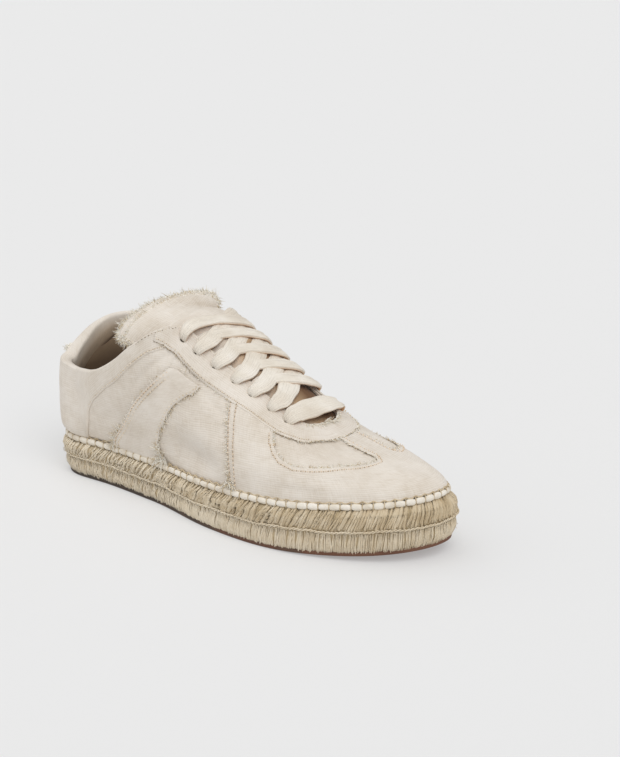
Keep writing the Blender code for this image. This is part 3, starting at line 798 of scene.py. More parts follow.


# Soft folds and hollows, one by one: where they are, their half size in degrees and in
# rise, how they are turned, and how deep they go in mm.
FOLDS = table(
    "turn rise half_turn half_rise skew deep",
    (0, 0.50, 42.0, 0.28, 0.0, -2.2),
    (0, 0.10, 42.0, 0.10, 0.0, 1.4),
    (84, 0.155, 7.5, 0.10, 0.0, -5.8),
    (84, 0.36, 8, 0.08, 0.0, 0.7),
    (77, 0.06, 2.5, 0.08, 0.1, -1.0),
    (73, 0.72, 5.5, 0.018, 0.012, -0.7),
    (70, 0.66, 6.0, 0.016, 0.014, -0.6),
    (76, 0.62, 5.0, 0.02, 0.010, 0.5),
    (60, 0.45, 6.0, 0.10, 0.01, -0.8),
    (92, 0.62, 5.0, 0.03, -0.01, -0.5),
    (98, 0.45, 5.5, 0.05, 0.01, -0.5),
    (106, 0.25, 6.0, 0.08, 0.01, 0.5),
    (118, 0.12, 8.0, 0.05, 0.0, -0.5),
    (135, 0.28, 10.0, 0.06, 0.002, -0.4),
    (150, 0.62, 9.0, 0.05, -0.003, -0.6),
    (128, 0.66, 6.0, 0.04, 0.0, -0.5),
    (200, 0.45, 14.0, 0.08, 0.0, -0.5),
    (225, 0.30, 9.0, 0.10, 0.0, -0.6),
    (255, 0.25, 8.0, 0.14, 0.01, -1.1),
    (272, 0.22, 7.0, 0.12, 0.0, -1.5),
    (285, 0.70, 5.0, 0.02, -0.012, -0.6),
    (300, 0.40, 8.0, 0.12, 0.0, -0.8),
    (25, 0.35, 10.0, 0.10, 0.0, -0.5),
    (8, 0.7, 9.0, 0.10, 0.0, 0.4),
    (340, 0.5, 9.0, 0.12, 0.0, -0.6),
)


def folds(turn, rise):
    """How far the cloth stands out of its smooth shape, in metres."""
    total = 0.25 * np.sin(turn * 0.21 + rise * 4) * np.sin(rise * 7 + turn * 0.045 + 1)
    for fold in FOLDS:
        away = (turn - fold.turn + 180) % 360 - 180
        up = rise - fold.rise - fold.skew * away
        far = -((away / fold.half_turn) ** 2) - (up / fold.half_rise) ** 2
        total = total + fold.deep * np.exp(far)
    fade = np.clip(rise / 0.03, 0, 1) * np.clip((1 - rise) / 0.05, 0, 1)
    return total * fade * MM


def on_upper(turn, rise, above=0.0):
    """Points above the canvas, its folds with them."""
    turn, rise = np.broadcast_arrays(np.asarray(turn, float), np.asarray(rise, float))
    lift = folds(turn, rise) + above
    return upper_at(turn, rise) + upper_out(turn, rise) * lift[..., None]


def thicken(piece, thickness, even=True):
    """Gives a sheet its wall, inwards, with a closed rim."""
    bpy.ops.object.select_all(action="DESELECT")
    piece.select_set(True)
    bpy.context.view_layer.objects.active = piece
    wall = piece.modifiers.new("wall", "SOLIDIFY")
    wall.thickness = thickness
    wall.offset = -1
    wall.use_even_offset = even
    wall.use_rim = True
    bpy.ops.object.modifier_apply(modifier=wall.name)


# Seven plain holes are punched through each side of the U and through the upper under it:
# their turns, from the heel's end to the toe's.
EYELETS = (80, 84, 90, 97, 103, 110, 117)
INNER_EYELETS = (280, 276, 270, 263, 257, 250, 238)
EYELET_RISE = 0.9
EYELET_HOLE = 2.1 * MM
NEAR_EYELET = 9 * MM  # past this lies another part of the upper


def punch_eyelets(piece):
    """Opens a round hole at each eyelet in a sheet that has no thickness yet."""
    turns = np.array(EYELETS + INNER_EYELETS, float)
    middles = on_upper(turns, np.full(len(turns), EYELET_RISE))
    outs = upper_out(turns, np.full(len(turns), EYELET_RISE))
    sheet = bmesh.new()
    sheet.from_mesh(piece.data)
    for middle, out in zip(map(Vector, middles), map(Vector, outs)):
        inside = []
        for face in sheet.faces:
            away = face.calc_center_median() - middle
            if away.length < NEAR_EYELET and (away - out * away.dot(out)).length < EYELET_HOLE:
                inside.append(face)
        corners = {corner for face in inside for corner in face.verts}
        bmesh.ops.delete(sheet, geom=inside, context="FACES")
        for corner in corners:
            if corner.is_valid and corner.link_faces:
                away = corner.co - middle
                level = out * away.dot(out)
                corner.co = middle + level + (away - level).normalized() * EYELET_HOLE
    sheet.to_mesh(piece.data)
    sheet.free()


rises = np.concatenate([[-1, -0.5], np.linspace(0, 1, 58)])
grid_turn, grid_rise = np.meshgrid(even_turns(541), rises)
upper = add_sheet("canvas_upper", on_upper(grid_turn % 360, grid_rise))
close_ring(upper)
punch_eyelets(upper)
thicken(upper, WALL)

# Undyed cotton duck, woven plain from slubby yarns: warm cream, quite matt, with soft paler
# and browner patches. Its threads are 0.5 mm apart in life and are drawn 1.4 mm apart, so
# that they show.
THREAD_PITCH = 1.4 * MM


def weave_canvas(name, painted_shade=None):
    """Plain woven canvas, whose threads follow the piece's own UV map in metres. Where the
    piece is marked with painted shade, it is painted darker and browner with the two shade colours."""
    made, tree, shader = add_material(name)
    cloth_way = add_node(tree, "UVMap").outputs["UV"]
    place = add_node(tree, "TexCoord").outputs["Object"]
    round_each = 2 * math.pi / THREAD_PITCH
    heights = []
    for axis, stretch, deep in (("Y", (110, 1300, 1), 0.2), ("X", (1300, 110, 1), 0.05)):
        laid = add_node(tree, "Mapping", Vector=cloth_way, Scale=stretch).outputs[0]
        slub = add_node(tree, "TexNoise", _0=laid, Scale=1.0, Detail=3).outputs["Fac"]
        apart = add_node(tree, "SeparateXYZ", Vector=cloth_way).outputs[axis]
        wander = add_node(tree, "Math", {"operation": "MULTIPLY"}, _0=slub, _1=7.0).outputs[0]
        phase = add_node(tree, "Math", MULTIPLY_ADD, _0=apart, _1=round_each, _2=wander).outputs[0]
        wave = add_node(tree, "Math", {"operation": "SINE"}, _0=phase).outputs[0]
        thread = add_node(tree, "Math", MULTIPLY_ADD, _0=wave, _1=deep, _2=slub).outputs[0]
        heights.append(thread)
    height = add_node(tree, "Math", {"operation": "ADD"}, _0=heights[0], _1=heights[1]).outputs[0]
    soil = add_node(tree, "TexNoise", _0=place, Scale=38, Detail=6, Roughness=0.65).outputs["Fac"]
    soiled = add_node(tree, "Math", {"operation": "MULTIPLY"}, _0=soil, _1=0.42).outputs[0]
    # The weave's height tints the canvas too: darker where it lies low between the threads, which
    # is painted shade.
    tone = add_node(tree, "Math", MULTIPLY_ADD, _0=height, _1=0.16, _2=soiled).outputs[0]
    shade = colour_ramp(tree, tone, (0.26, "d2c6b6"), (0.39, "e3dace"), (0.52, "ede6dd"))
    if painted_shade:
        # How much painted shade a place has, and the colours of that painted shade.
        hidden = add_node(tree, "Attribute", {"attribute_name": "painted_shade"}).outputs["Fac"]
        reach = add_node(tree, "Math", {"operation": "MULTIPLY"}, _0=hidden, _1=2.0).outputs[0]
        shade_tint = colour_ramp(tree, hidden, *zip((0.4, 0.9), painted_shade))
        mixed = add_node(tree, "Mix", {"data_type": "RGBA"}, _0=reach, _6=shade, _7=shade_tint)
        shade = mixed.outputs[2]
    bump = add_node(tree, "Bump", Height=height, Strength=0.5, Distance=0.3 * MM).outputs["Normal"]
    feed(tree, shader, Base_Color=shade, Normal=bump, Roughness=0.95, Sheen_Weight=0.15)
    return made


undyed_canvas = weave_canvas("woven undyed cotton canvas")
finish(upper, undyed_canvas, "canvas", "upper")

# The lining: thin cotton twill against the canvas's inner face, with a little soil, and
# painted browner the deeper it lies: painted shade inside the shoe.
rises = np.concatenate([[-0.6], np.linspace(0, 0.995, 34)])
lining_turn, lining_rise = np.meshgrid(even_turns(321), rises)
lining = add_sheet("cotton_lining", on_upper(lining_turn % 360, lining_rise, -(WALL + 0.1 * MM)))
mark(lining, "depth", 1 - lining_rise)
close_ring(lining)
punch_eyelets(lining)
thicken(lining, 0.4 * MM)
depth_shaded_lining, tree, shader = add_material("cotton twill lining with painted depth shade")
place = add_node(tree, "TexCoord").outputs["Object"]
depth = add_node(tree, "Attribute", {"attribute_name": "depth"}).outputs["Fac"]
soil = add_node(tree, "TexNoise", _0=place, Scale=60, Detail=4).outputs["Fac"]
# Soil, and painted shade that darkens the lining with its depth.
wear_and_painted_shading = add_node(tree, "Math", MULTIPLY_ADD, _0=soil, _1=0.12, _2=depth).outputs[0]
painted_depth_shades = (0.14, "e0d5c6"), (0.26, "917c64"), (0.45, "604d3a"), (0.9, "402f22")
shade = colour_ramp(tree, wear_and_painted_shading, *painted_depth_shades)
feed(tree, shader, Base_Color=shade, Roughness=0.95)
finish(lining, depth_shaded_lining, "lining")

# ---------------------------------------------------------------- canvas panels
# Single plies laid on the upper and stitched down, their raw edges left to fray: a counter
# round the heel, a band on each side, a T round the toe and a U round the throat.

PANEL = 0.8 * MM
HEEL_PAD = 5.0 * MM  # how thick the padding is inside the heel, under the counter's ply
TURNED_UNDER = 0.35 * MM  # how far the counter's face stands off the canvas at its edge

# The plies' edges, as rises at the outer side's turns: the counter's edge, the U's lower edge
# and the lower edge of the T's windows. The inner side mirrors them.
REAR_QUARTER = table(
    "turn low",
    (0, -0.12),
    (38, -0.12),
    (40, 0.10),
    (42, 0.26),
    (45, 0.50),
    (49, 0.62),
    (57, 0.74),
    (65, 0.78),
    (72, 0.82),
)
EYESTAY = table(
    "turn low",
    (73.5, 0.91),
    (77, 0.81),
    (81, 0.745),
    (88, 0.72),
    (104, 0.72),
    (114, 0.70),
    (121, 0.74),
    (134, 0.80),
    (147, 0.825),
    (168, 0.865),
    (180, 0.87),
)
WINDOW_FROM = 112.5
STEM_FROM = 170  # where the T's stem starts
GUARD_FROM = 97.3  # the T's rear edge
WINDOW = table(
    "turn low",
    (97, 0.58),
    (112.5, 0.58),
    (113.4, 0.50),
    (115, 0.43),
    (119, 0.395),
    (128, 0.44),
    (141, 0.49),
    (158, 0.525),
    (166, 0.55),
    (169.5, 0.60),
    (180, 0.61),
)

# The side band's rear and front edges, by rise.
SIDE_BAND = table(
    "rise rear front",
    (-0.12, 50.0, 71.7),
    (0.16, 53.5, 71.0),
    (0.26, 56.5, 73.0),
    (0.38, 61.0, 76.5),
    (0.50, 66.0, 81.5),
    (0.60, 73.0, 85.5),
    (0.68, 78.0, 87.5),
)


def straight(rows, column, at):
    """A table's column between its rows, in straight steps."""
    return np.interp(at, [row[0] for row in rows], [getattr(row, column) for row in rows])


def folded(turn):
    """The outer side's turn that a turn on either side mirrors."""
    turn = np.asarray(turn) % 360
    return np.minimum(turn, 360 - turn)


def eyestay_low(turn):
    return straight(EYESTAY, "low", folded(turn))


def ragged(way, amount, seed):
    """The small wander of a torn or cut edge."""
    return amount * (0.6 * ripple(way, 9, seed) + 0.4 * ripple(way, 2.3, seed * 1.7))


def add_ply(name, points, windows=None, eyelets=False, painted_shade=None):
    """A ply of canvas on its points, with the quads of any window left out, and with the
    marks that say where its material paints shade."""
    ply = add_sheet(name, points)
    if painted_shade is not None:
        mark(ply, "painted_shade", painted_shade)
    if windows is not None:
        bpy.ops.object.mode_set(mode="EDIT")
        bpy.ops.mesh.select_all(action="DESELECT")
        bpy.ops.mesh.select_mode(type="FACE")
        bpy.ops.object.mode_set(mode="OBJECT")
        ply.data.polygons.foreach_set("select", windows.ravel())
        bpy.ops.object.mode_set(mode="EDIT")
        bpy.ops.mesh.delete(type="FACE")
        bpy.ops.mesh.select_mode(type="VERT")
        bpy.ops.object.mode_set(mode="OBJECT")
    if eyelets:
        punch_eyelets(ply)
    thicken(ply, PANEL)
    return ply


# The counter, which folds over the collar's rim and a little way down inside it. Its edge is
# turned under, so it lies low where it is stitched, and its arms run out under the U.
quarter_turn = np.concatenate(
    [np.linspace(-76, -46, 50), np.linspace(-45.4, 45.4, 131), np.linspace(46, 76, 50)]
)
low_rise = straight(REAR_QUARTER, "low", np.abs(quarter_turn)) + ragged(quarter_turn, 0.003, 3.0)
runs_out = 1 - np.clip((np.abs(quarter_turn) - 58) / 14, 0, 1)
full_lift = PANEL_GAP + PANEL - TURNED_UNDER
rows = []
for part in np.linspace(0, 0.99, 42):
    settled = np.clip((1 - low_rise) * part / 0.05, 0, 1)
    lift = TURNED_UNDER + full_lift * settled * runs_out
    rows.append(on_upper(quarter_turn, low_rise + (1 - low_rise) * part, lift))
rim_out = upper_out(quarter_turn, 0.99)
rim_up = unit(upper_at(quarter_turn, 1.0) - upper_at(quarter_turn, 0.97))
rim_middle = upper_at(quarter_turn, 1.0) - rim_out * WALL / 2
fat = (WALL / 2 + TURNED_UNDER + full_lift * runs_out)[:, None]
padded = np.exp(-((quarter_turn / 36) ** 2))
# Painted shade for each row: none outside, growing from the rim down inside the collar.
hidden = [0.0] * len(rows)
for angle, inside in ((10, 0), (35, 0), (60, 0), (90, 0), (120, 0), (150, 0.03), (175, 0.06)):
    angle = math.radians(angle)
    wide = fat + HEEL_PAD * padded[:, None] * (1 - math.cos(angle)) / 2
    rows.append(rim_middle + rim_out * math.cos(angle) * wide + rim_up * math.sin(angle) * fat)
    hidden.append(inside)
# Inside, from the rim down to the padding's lower end: how far down, and how far it has thinned.
INSIDE = ((0.12, 0), (0.25, 0.02), (0.4, 0.1), (0.55, 0.25), (0.7, 0.5), (0.85, 0.8), (1.0, 1.0))
for part, thinned in INSIDE:
    whole = WALL / 2 + fat + HEEL_PAD * padded[:, None]
    deep = whole - (whole - WALL) * thinned
    fold_rise = 1.0 - (0.15 + 0.3 * padded) * part
    rows.append(on_upper(quarter_turn, fold_rise, -deep[:, 0]))
    hidden.append(0.08 + 0.82 * part**1.3)
hidden = np.repeat(hidden, len(quarter_turn))
rear_quarter = add_ply("canvas_rear_quarter", np.stack(rows), painted_shade=hidden)
# Inside the collar the counter's canvas is painted brown: painted shade.
collar_canvas = weave_canvas("woven canvas with painted shade inside", ("c9b59d", "7a634c"))
finish(rear_quarter, collar_canvas, "canvas", "rear_quarter")

# The side bands. The outer one's rear laps over the counter, and its front comes down to the
# canvas.
band_rises = np.linspace(SIDE_BAND[0].rise, SIDE_BAND[-1].rise, 62)
band_parts = np.linspace(0, 1, 26)
for side, node in (("lateral", "side_band_lateral"), ("medial", "side_band_medial")):
    rear = straight(SIDE_BAND, "rear", band_rises) + ragged(band_rises * 70, 0.3, 1.0)
    front = straight(SIDE_BAND, "front", band_rises) + ragged(band_rises * 70, 0.35, 2.0)
    lift = PANEL_GAP + PANEL + 0.8 * MM - 1.2 * MM * np.clip((band_parts - 0.6) / 0.4, 0, 1)
    if side == "medial":
        rear, front = 360 - front, 360 - rear
        lift = PANEL_GAP + PANEL
    band_turn = rear[:, None] + (front - rear)[:, None] * band_parts
    band = add_ply("canvas_side_band_" + side, on_upper(band_turn, band_rises[:, None], lift))
    finish(band, undyed_canvas, "canvas", node)

STEM_SPREAD = 3.6  # how much wider the T's stem is on each side where it meets the U, in degrees
WINDOW_ROW = 43  # the T's row of points that runs along its sill


def climbed(rise):
    """How far up the stem a rise lies, from 0 to 1."""
    return np.clip((rise - 0.6) / 0.26, 0, 1)


# The T round the toe. Its windows lie between the U's edge above them and its sill below, and
# its rear edge comes down to the canvas.
side_turns = np.concatenate(
    [
        np.linspace(GUARD_FROM, WINDOW_FROM, 20),
        np.linspace(113.1, 169.3, 108),
        np.linspace(STEM_FROM, 180, 18),
    ]
)
toe_turn = np.concatenate([side_turns, 360 - side_turns[-2::-1]])
sill = straight(WINDOW, "low", folded(toe_turn))
head = eyestay_low(toe_turn) + np.where(folded(toe_turn) > WINDOW_FROM, -0.012, 0.001)
parts = np.concatenate([np.linspace(0, 1, WINDOW_ROW + 1), np.linspace(1, 2, 26)[1:]])
toe_rise = np.where(
    parts[:, None] <= 1,
    -0.12 + (sill + 0.12) * parts[:, None],
    sill + (head - sill) * (parts[:, None] - 1),
)
centre_turn = folded((toe_turn[:-1] + toe_turn[1:]) / 2)
open_turns = (centre_turn > WINDOW_FROM) & (centre_turn < STEM_FROM)
windows = (np.arange(len(parts) - 1) >= WINDOW_ROW)[:, None] & open_turns[None, :]
lift = PANEL_GAP + PANEL - 0.8 * MM * np.clip((100 - folded(toe_turn)) / 2.7, 0, 1)
from_stem = toe_turn - 180
spread = np.sign(from_stem) * np.interp(np.abs(from_stem), [0, 10, 30], [0, STEM_SPREAD, 0])
toe_points = on_upper(toe_turn + spread * climbed(toe_rise), toe_rise, lift)
toe_guard = add_ply("canvas_toe_guard", toe_points, windows)
finish(toe_guard, undyed_canvas, "canvas", "toe_guard")


# The U round the throat. Its lower edge is pressed down over the waist, and lies flush with
# the T's ply behind the windows.
def stay_high(turn):
    """The U's inner edge: it ends with the upper, but reaches over the tongue in front."""
    in_front = np.clip((57 - np.abs(turn - 180)) / 22, 0, 1)
    return 0.998 + (0.036 + ragged(turn, 0.004, 5.0)) * in_front


stay_side = np.concatenate([np.linspace(73.5, 84, 22), np.linspace(84.5, 180, 150)])
stay_turn = np.concatenate([stay_side, 360 - stay_side[-2::-1]])
stay_low = eyestay_low(stay_turn) + ragged(stay_turn, 0.0016, 4.0)
stay_rise = stay_low + (stay_high(stay_turn) - stay_low) * np.linspace(0, 1, 30)[:, None]
out_turn = folded(stay_turn)
pressed = 0.25 + 0.7 * np.clip((115 - out_turn) / 5, 0, 1) * np.clip((out_turn - 78) / 4, 0, 1)
flush = np.clip((out_turn - 96) / 2, 0, 1) * np.clip((114 - out_turn) / 2, 0, 1)
pressed = pressed * (1 - flush) - 0.05 * flush
lift = PANEL_GAP + PANEL - pressed * MM * np.exp(-(((stay_rise - stay_low) / 0.02) ** 2))
lift = lift - 0.45 * MM * np.clip((stay_rise - 0.95) / 0.045, 0, 1)
eyestay = add_ply("canvas_eyestay", on_upper(stay_turn, stay_rise, lift), eyelets=True)
finish(eyestay, undyed_canvas, "canvas", "eyestay")

# ---------------------------------------------------------------- tongue
# A wide padded tongue: two plies of canvas over thin foam, sewn in under the throat, with a
# free flap above it whose edges are raw and frayed.

TONGUE_THICK = 2.6 * MM
TONGUE_CLEAR = 1.0 * MM
TONGUE_ACROSS = 81
TONGUE_UP = 111

# Where the throat's two sides face each other, by turn, toe to heel, and how high the tongue
# arches between them.
THROAT = table(
    "outer inner reach",
    (124, 236, 5),
    (114, 246, 10),
    (104, 256, 13),
    (94, 266, 14),
    (85, 275, 14),
    (79, 281, 14),
)

# The free flap. Each row is an arch between its outer and inner edge, in mm, and lateral_up
# and medial_up are how far it rises out of them.
FLAP = table(
    "lateral_x lateral_y lateral_z lateral_up medial_x medial_y medial_z medial_up",
    (-53, -25.5, 101, 30, -42, 31, 108, 26),
    (-67, -27.5, 103, 27, -45, 31, 117, 20),
    (-82, -30.0, 108, 24, -50, 37, 123, 14),
)


def bezier(a, b, c, d, part):
    part = np.asarray(part)[..., None]
    left = 1 - part
    return a * left**3 + b * 3 * left**2 * part + c * 3 * left * part**2 + d * part**3


def high_lean(turn):
    return leaning(turn, -read(AROUND, "lean_high", np.asarray(turn) % 360))


def resample(row, count):
    """Points an equal way apart along a row of points, on a smooth curve through them."""
    behind = walked(row)
    at = np.linspace(0, behind[-1], count)
    return np.stack([smooth(behind, row[:, k], at) for k in range(3)], -1)


tip_turn = np.array([129, 136, 144, 153, 166, 180, 194, 207, 216, 224, 231.0])
tip_rise = np.array([0.76, 0.83, 0.88, 0.9, 0.91, 0.91, 0.91, 0.9, 0.88, 0.83, 0.76])
below = -(WALL + TONGUE_CLEAR)
tongue_rows = [upper_at(tip_turn, tip_rise) + upper_out(tip_turn, tip_rise) * below]
for row in THROAT:
    sides = []
    for turn in (row.outer, row.inner):
        rise = np.array([0.76, 0.88, 1.0])
        sides.append(upper_at(turn, rise) + upper_out(np.full(3, turn), rise) * below)
    start, end = sides[0][-1], sides[1][-1]
    a = start + high_lean(row.outer) * row.reach * MM
    b = end + high_lean(row.inner) * row.reach * MM
    arch = bezier(start, a, b, end, np.arange(1, 6) / 6)
    tongue_rows.append(np.concatenate([sides[0], arch, sides[1][::-1]]))
for row in FLAP:
    start = np.array((row.lateral_x, row.lateral_y, row.lateral_z)) * MM - BOX_CENTRE
    end = np.array((row.medial_x, row.medial_y, row.medial_z)) * MM - BOX_CENTRE
    a = start + np.array((0.15, 0.15, 1)) * row.lateral_up * MM
    b = end + np.array((-0.4, -0.3, 1)) * row.medial_up * MM
    tongue_rows.append(bezier(start, a, b, end, np.arange(11) / 10))
tongue_rows = np.stack([resample(row, TONGUE_ACROSS) for row in tongue_rows])
lengthwise = np.linalg.norm(np.diff(tongue_rows, axis=0), axis=2).mean(axis=1)
behind = np.concatenate([[0], np.cumsum(lengthwise)])
at = np.linspace(0, behind[-1], TONGUE_UP)
columns = []
for column in range(TONGUE_ACROSS):
    values = [smooth(behind, tongue_rows[:, column, k], at) for k in range(3)]
    columns.append(np.stack(values, -1))
tongue_grid = np.stack(columns, 1)

# Soft creases across the flap, one by one: where they are (across and up the tongue, 0 to
# 1), their half sizes, how they are turned, and how deep they go in mm.
CREASES = table(
    "across up half_across half_up skew deep",
    (0.30, 0.86, 0.16, 0.012, -0.10, -0.9),
    (0.38, 0.90, 0.18, 0.012, -0.12, 0.8),
    (0.52, 0.93, 0.16, 0.010, -0.06, -0.8),
    (0.62, 0.88, 0.14, 0.012, 0.05, -0.8),
    (0.22, 0.80, 0.12, 0.014, 0.06, -0.8),
    (0.72, 0.95, 0.10, 0.012, 0.10, 0.7),
    (0.45, 0.80, 0.16, 0.016, 0.03, 0.8),
)
across_part, up_part = np.meshgrid(np.linspace(0, 1, TONGUE_ACROSS), np.linspace(0, 1, TONGUE_UP))
crease = np.zeros_like(across_part)
for row in CREASES:
    across = across_part - row.across
    up = up_part - row.up - row.skew * across
    far = -((across / row.half_across) ** 2) - (up / row.half_up) ** 2
    crease = crease + row.deep * np.exp(far)
tongue_up = unit(np.cross(np.gradient(tongue_grid, axis=1), np.gradient(tongue_grid, axis=0)))
tongue_grid = tongue_grid + tongue_up * (crease * MM)[..., None]
tongue = add_sheet("padded_tongue", tongue_grid)
# Painted shade under the laces, deeper towards the inner side.
to_inner = 0.2 + 0.75 * np.clip((across_part - 0.3) / 0.35, 0, 1)
mark(tongue, "painted_shade", np.clip((0.60 - up_part) / 0.06, 0, 1) * to_inner)
thicken(tongue, TONGUE_THICK, even=False)
# The tongue's canvas is painted warm brown under the laces, darker towards the inner side: painted
# shade between the laces.
tongue_canvas = weave_canvas("woven canvas with painted shade under laces", ("d2b592", "75563b"))
finish(tongue, tongue_canvas, "canvas", "tongue")

# ---------------------------------------------------------------- laces
# One flat tubular cotton lace, 9 to 14 mm wide as it lies: a straight bar in front, then
# crossings that run from eyelet to eyelet and down through them. Its ends stop at the top
# eyelets.

LACE_THICK = 3.0 * MM
LACE_STEPS = 45  # rings of points along a strand
LACE_ROUND = 18  # points round each ring

# Each strand: the side that it comes from, the eyelet that it leaves there, the far eyelet at
# which it goes in, how wide it lies and how far it arches over the tongue, both in mm, and
# whether it goes in under the far edge or down through the far eyelet.
STRANDS = table(
    "side leaves goes_in wide arch ends",
    ("lateral", 6, 6, 14.5, 6, "eyelet"),
    ("lateral", 5, 4, 13.0, 6, "edge"),
    ("lateral", 4, 3, 12.0, 6.5, "edge"),
    ("lateral", 3, 2, 12.5, 7.5, "edge"),
    ("lateral", 2, 1, 12.0, 7, "edge"),
    ("lateral", 1, 0, 11.5, 6.5, "eyelet"),
    ("medial", 5, 4, 9.0, 11, "edge"),
    ("medial", 4, 3, 8.6, 11, "edge"),
    ("medial", 3, 2, 9.0, 11.5, "edge"),
    ("medial", 2, 1, 8.6, 11, "edge"),
    ("medial", 1, 0, 9.4, 9, "eyelet"),
)


def lace_line(strand, first, last):
    """The middle of a strand, from under the eyelet that it leaves to the one it goes to."""
    above = PANEL_GAP + PANEL + LACE_THICK / 2 + 0.3 * MM
    out = upper_out(first, EYELET_RISE)
    hole = on_upper(first, EYELET_RISE)
    toeward = unit(upper_top(np.array(first + 4.0)) - upper_top(np.array(first - 4.0)))
    toeward = toeward * np.sign(toeward[0])
    drift = 3.4 * MM if strand.side == "lateral" else 0.8 * MM
    leaving = [
        hole - out * 2.2 * MM,
        hole + out * 1.6 * MM,
        on_upper(first, EYELET_RISE + 0.045) + out * above * 1.2 + toeward * drift * 0.6,
    ]
    start = on_upper(first, 1.0, above) + toeward * drift
    end = on_upper(last, 1.0, 0.6 * MM)
    inside = [on_upper(last, 0.93, -WALL - 0.4 * MM)]
    if strand.ends == "eyelet":
        end = on_upper(last, 1.0, above)
        dive = on_upper(last, EYELET_RISE)
        far_out = upper_out(last, EYELET_RISE)
        over = on_upper(last, EYELET_RISE + 0.04) + far_out * above * 1.2
        inside = [over, dive + far_out * 1.0 * MM, dive - far_out * 2.2 * MM]
    a = start + high_lean(first) * strand.arch * MM + toeward * drift * 1.2
    b = end + high_lean(last) * strand.arch * MM
    arch = bezier(start, a, b, end, np.linspace(0, 1, 9))
    return resample(np.stack(leaving + list(arch) + inside), LACE_STEPS)


def lay_lace(name, strand):
    """A flat tube of lace that comes up out of an eyelet, and goes in under the far edge."""
    if strand.side == "medial":
        first, last = INNER_EYELETS[strand.leaves], EYELETS[strand.goes_in]
    else:
        first, last = EYELETS[strand.leaves], INNER_EYELETS[strand.goes_in]
    line = lace_line(strand, first, last)
    throat = upper_top(np.array(first + 4.0)) - upper_top(np.array(first - 4.0))
    ahead = unit(np.gradient(line, axis=0))
    across = unit(throat - ahead * (ahead @ throat)[:, None])
    lift_way = np.cross(across, ahead)
    lift_way = lift_way * np.sign(lift_way[:, 2:3].mean())
    part = np.linspace(0, 1, LACE_STEPS)
    opened = np.clip(part / 0.2, 0, 1) ** 0.85
    if strand.ends == "eyelet":
        opened = opened * np.clip((1 - part) / 0.2, 0, 1) ** 0.85
    uneven = 1 + 0.07 * np.sin(part * 9 + first) + 0.04 * np.sin(part * 23 + first * 3)
    half = (0.3 + 0.7 * opened) * strand.wide * MM / 2 * uneven
    thick = LACE_THICK / 2 * (0.9 + 0.3 * np.sin(np.pi * part))
    thick = thick * np.interp(part, [0, 0.9, 1], [1, 1, 0.5])
    angle = np.arange(LACE_ROUND) / LACE_ROUND * 2 * math.pi
    c, s = np.cos(angle), np.sin(angle)
    x = np.sign(c) * np.abs(c) ** 0.8
    crease_at = 0.25 * np.sin(part * 7 + first)[:, None]
    plump = np.sign(s) * np.abs(s) ** 0.8 * (1 - 0.42 * np.exp(-(((x - crease_at) / 0.2) ** 2)))
    wide = across[:, None] * (half[:, None] * x)[..., None]
    rings = line[:, None] + wide + lift_way[:, None] * (thick[:, None] * plump)[..., None]
    laid = add_sheet(name, np.concatenate([rings, rings[:, :1]], 1))
    # How far a point lies on the lace's underside, which is painted warm tan as shade.
    under = np.clip(0.35 - plump * 0.9, 0, 1)
    mark(laid, "under", np.concatenate([under, under[:, :1]], 1))
    close_ring(laid, capped=True)
    return laid


strands_laid = [lay_lace(f"lace_{i}", strand) for i, strand in enumerate(STRANDS)]
bpy.ops.object.select_all(action="DESELECT")
for strand in strands_laid:
    strand.select_set(True)
bpy.context.view_layer.objects.active = strands_laid[0]
bpy.ops.object.join()
laces = strands_laid[0]
laces.name = "flat_laces"

# Flat tubular cotton lace, knitted in wales that run along it about 1.5 mm apart, drawn
# coarser than life: creamy white, painted warm tan underneath as shade and bounce light.
knitted_lace, tree, shader = add_material("knitted flat cotton lace")
lace_way = add_node(tree, "UVMap").outputs["UV"]
place = add_node(tree, "TexCoord").outputs["Object"]
wales = add_node(
    tree, "TexWave", {"bands_direction": "X"}, _0=lace_way, Scale=200, Distortion=1.5
).outputs["Fac"]
drawn = add_node(tree, "Mapping", Vector=lace_way, Scale=(520, 45, 1)).outputs[0]
pleats = add_node(tree, "TexNoise", _0=drawn, Scale=1.0, Detail=2).outputs["Fac"]
soil = add_node(tree, "TexNoise", _0=place, Scale=60, Detail=4).outputs["Fac"]
clean = colour_ramp(tree, soil, (0.3, "ded3c3"), (0.5, "e9e0d2"), (0.7, "f2ebe0"))
# The underside is painted warm tan: painted shade.
under = add_node(tree, "Attribute", {"attribute_name": "under"}).outputs["Fac"]
underside_painted_shade = add_node(tree, "Mix", {"data_type": "RGBA"}, _0=under, _6=clean, _7=linear("cf9f70"))
relief = add_node(tree, "Math", MULTIPLY_ADD, _0=wales, _1=0.3, _2=pleats).outputs[0]
bump = add_node(tree, "Bump", Height=relief, Strength=0.8, Distance=0.9 * MM).outputs["Normal"]
feed(tree, shader, Base_Color=underside_painted_shade.outputs[2], Normal=bump, Roughness=0.88, Sheen_Weight=0.15)
finish(laces, knitted_lace, "lace", "laces")

# ---------------------------------------------------------------- stitching
# Lockstitch in thick cotton thread holds every panel down: one short raised stitch after
# another, with a needle hole between each two. The waist seams are sewn in peach thread.

STITCH_PITCH = 2.8 * MM
STITCH_LONG = 1.8 * MM
STITCH_WIDE = 0.9 * MM

# Each seam: the edge that it follows, how far it lies beside that in mm (more is towards the
# heel on the outer side), how far it stands off the ply in mm, up to what part of the edge it
# runs, and its thread.
STITCHES = table(
    "edge aside above until thread",
    ("quarter", 1.4, 0.0, 1.0, "cream"),
    ("band_rear", -1.4, 0.0, 1.0, "peach"),
    ("band_rear", -4.2, 0.0, 1.0, "cream"),
    ("band_front", 1.8, 0.0, 1.0, "cream"),
    ("guard_rear", -1.2, 0.25, 1.0, "peach"),
    ("guard_rear", -5.4, 0.7, 1.0, "peach"),
    ("window", -2.4, 0.0, 1.0, "peach"),
    ("stay", 2.0, 0.0, 0.52, "cream"),
)


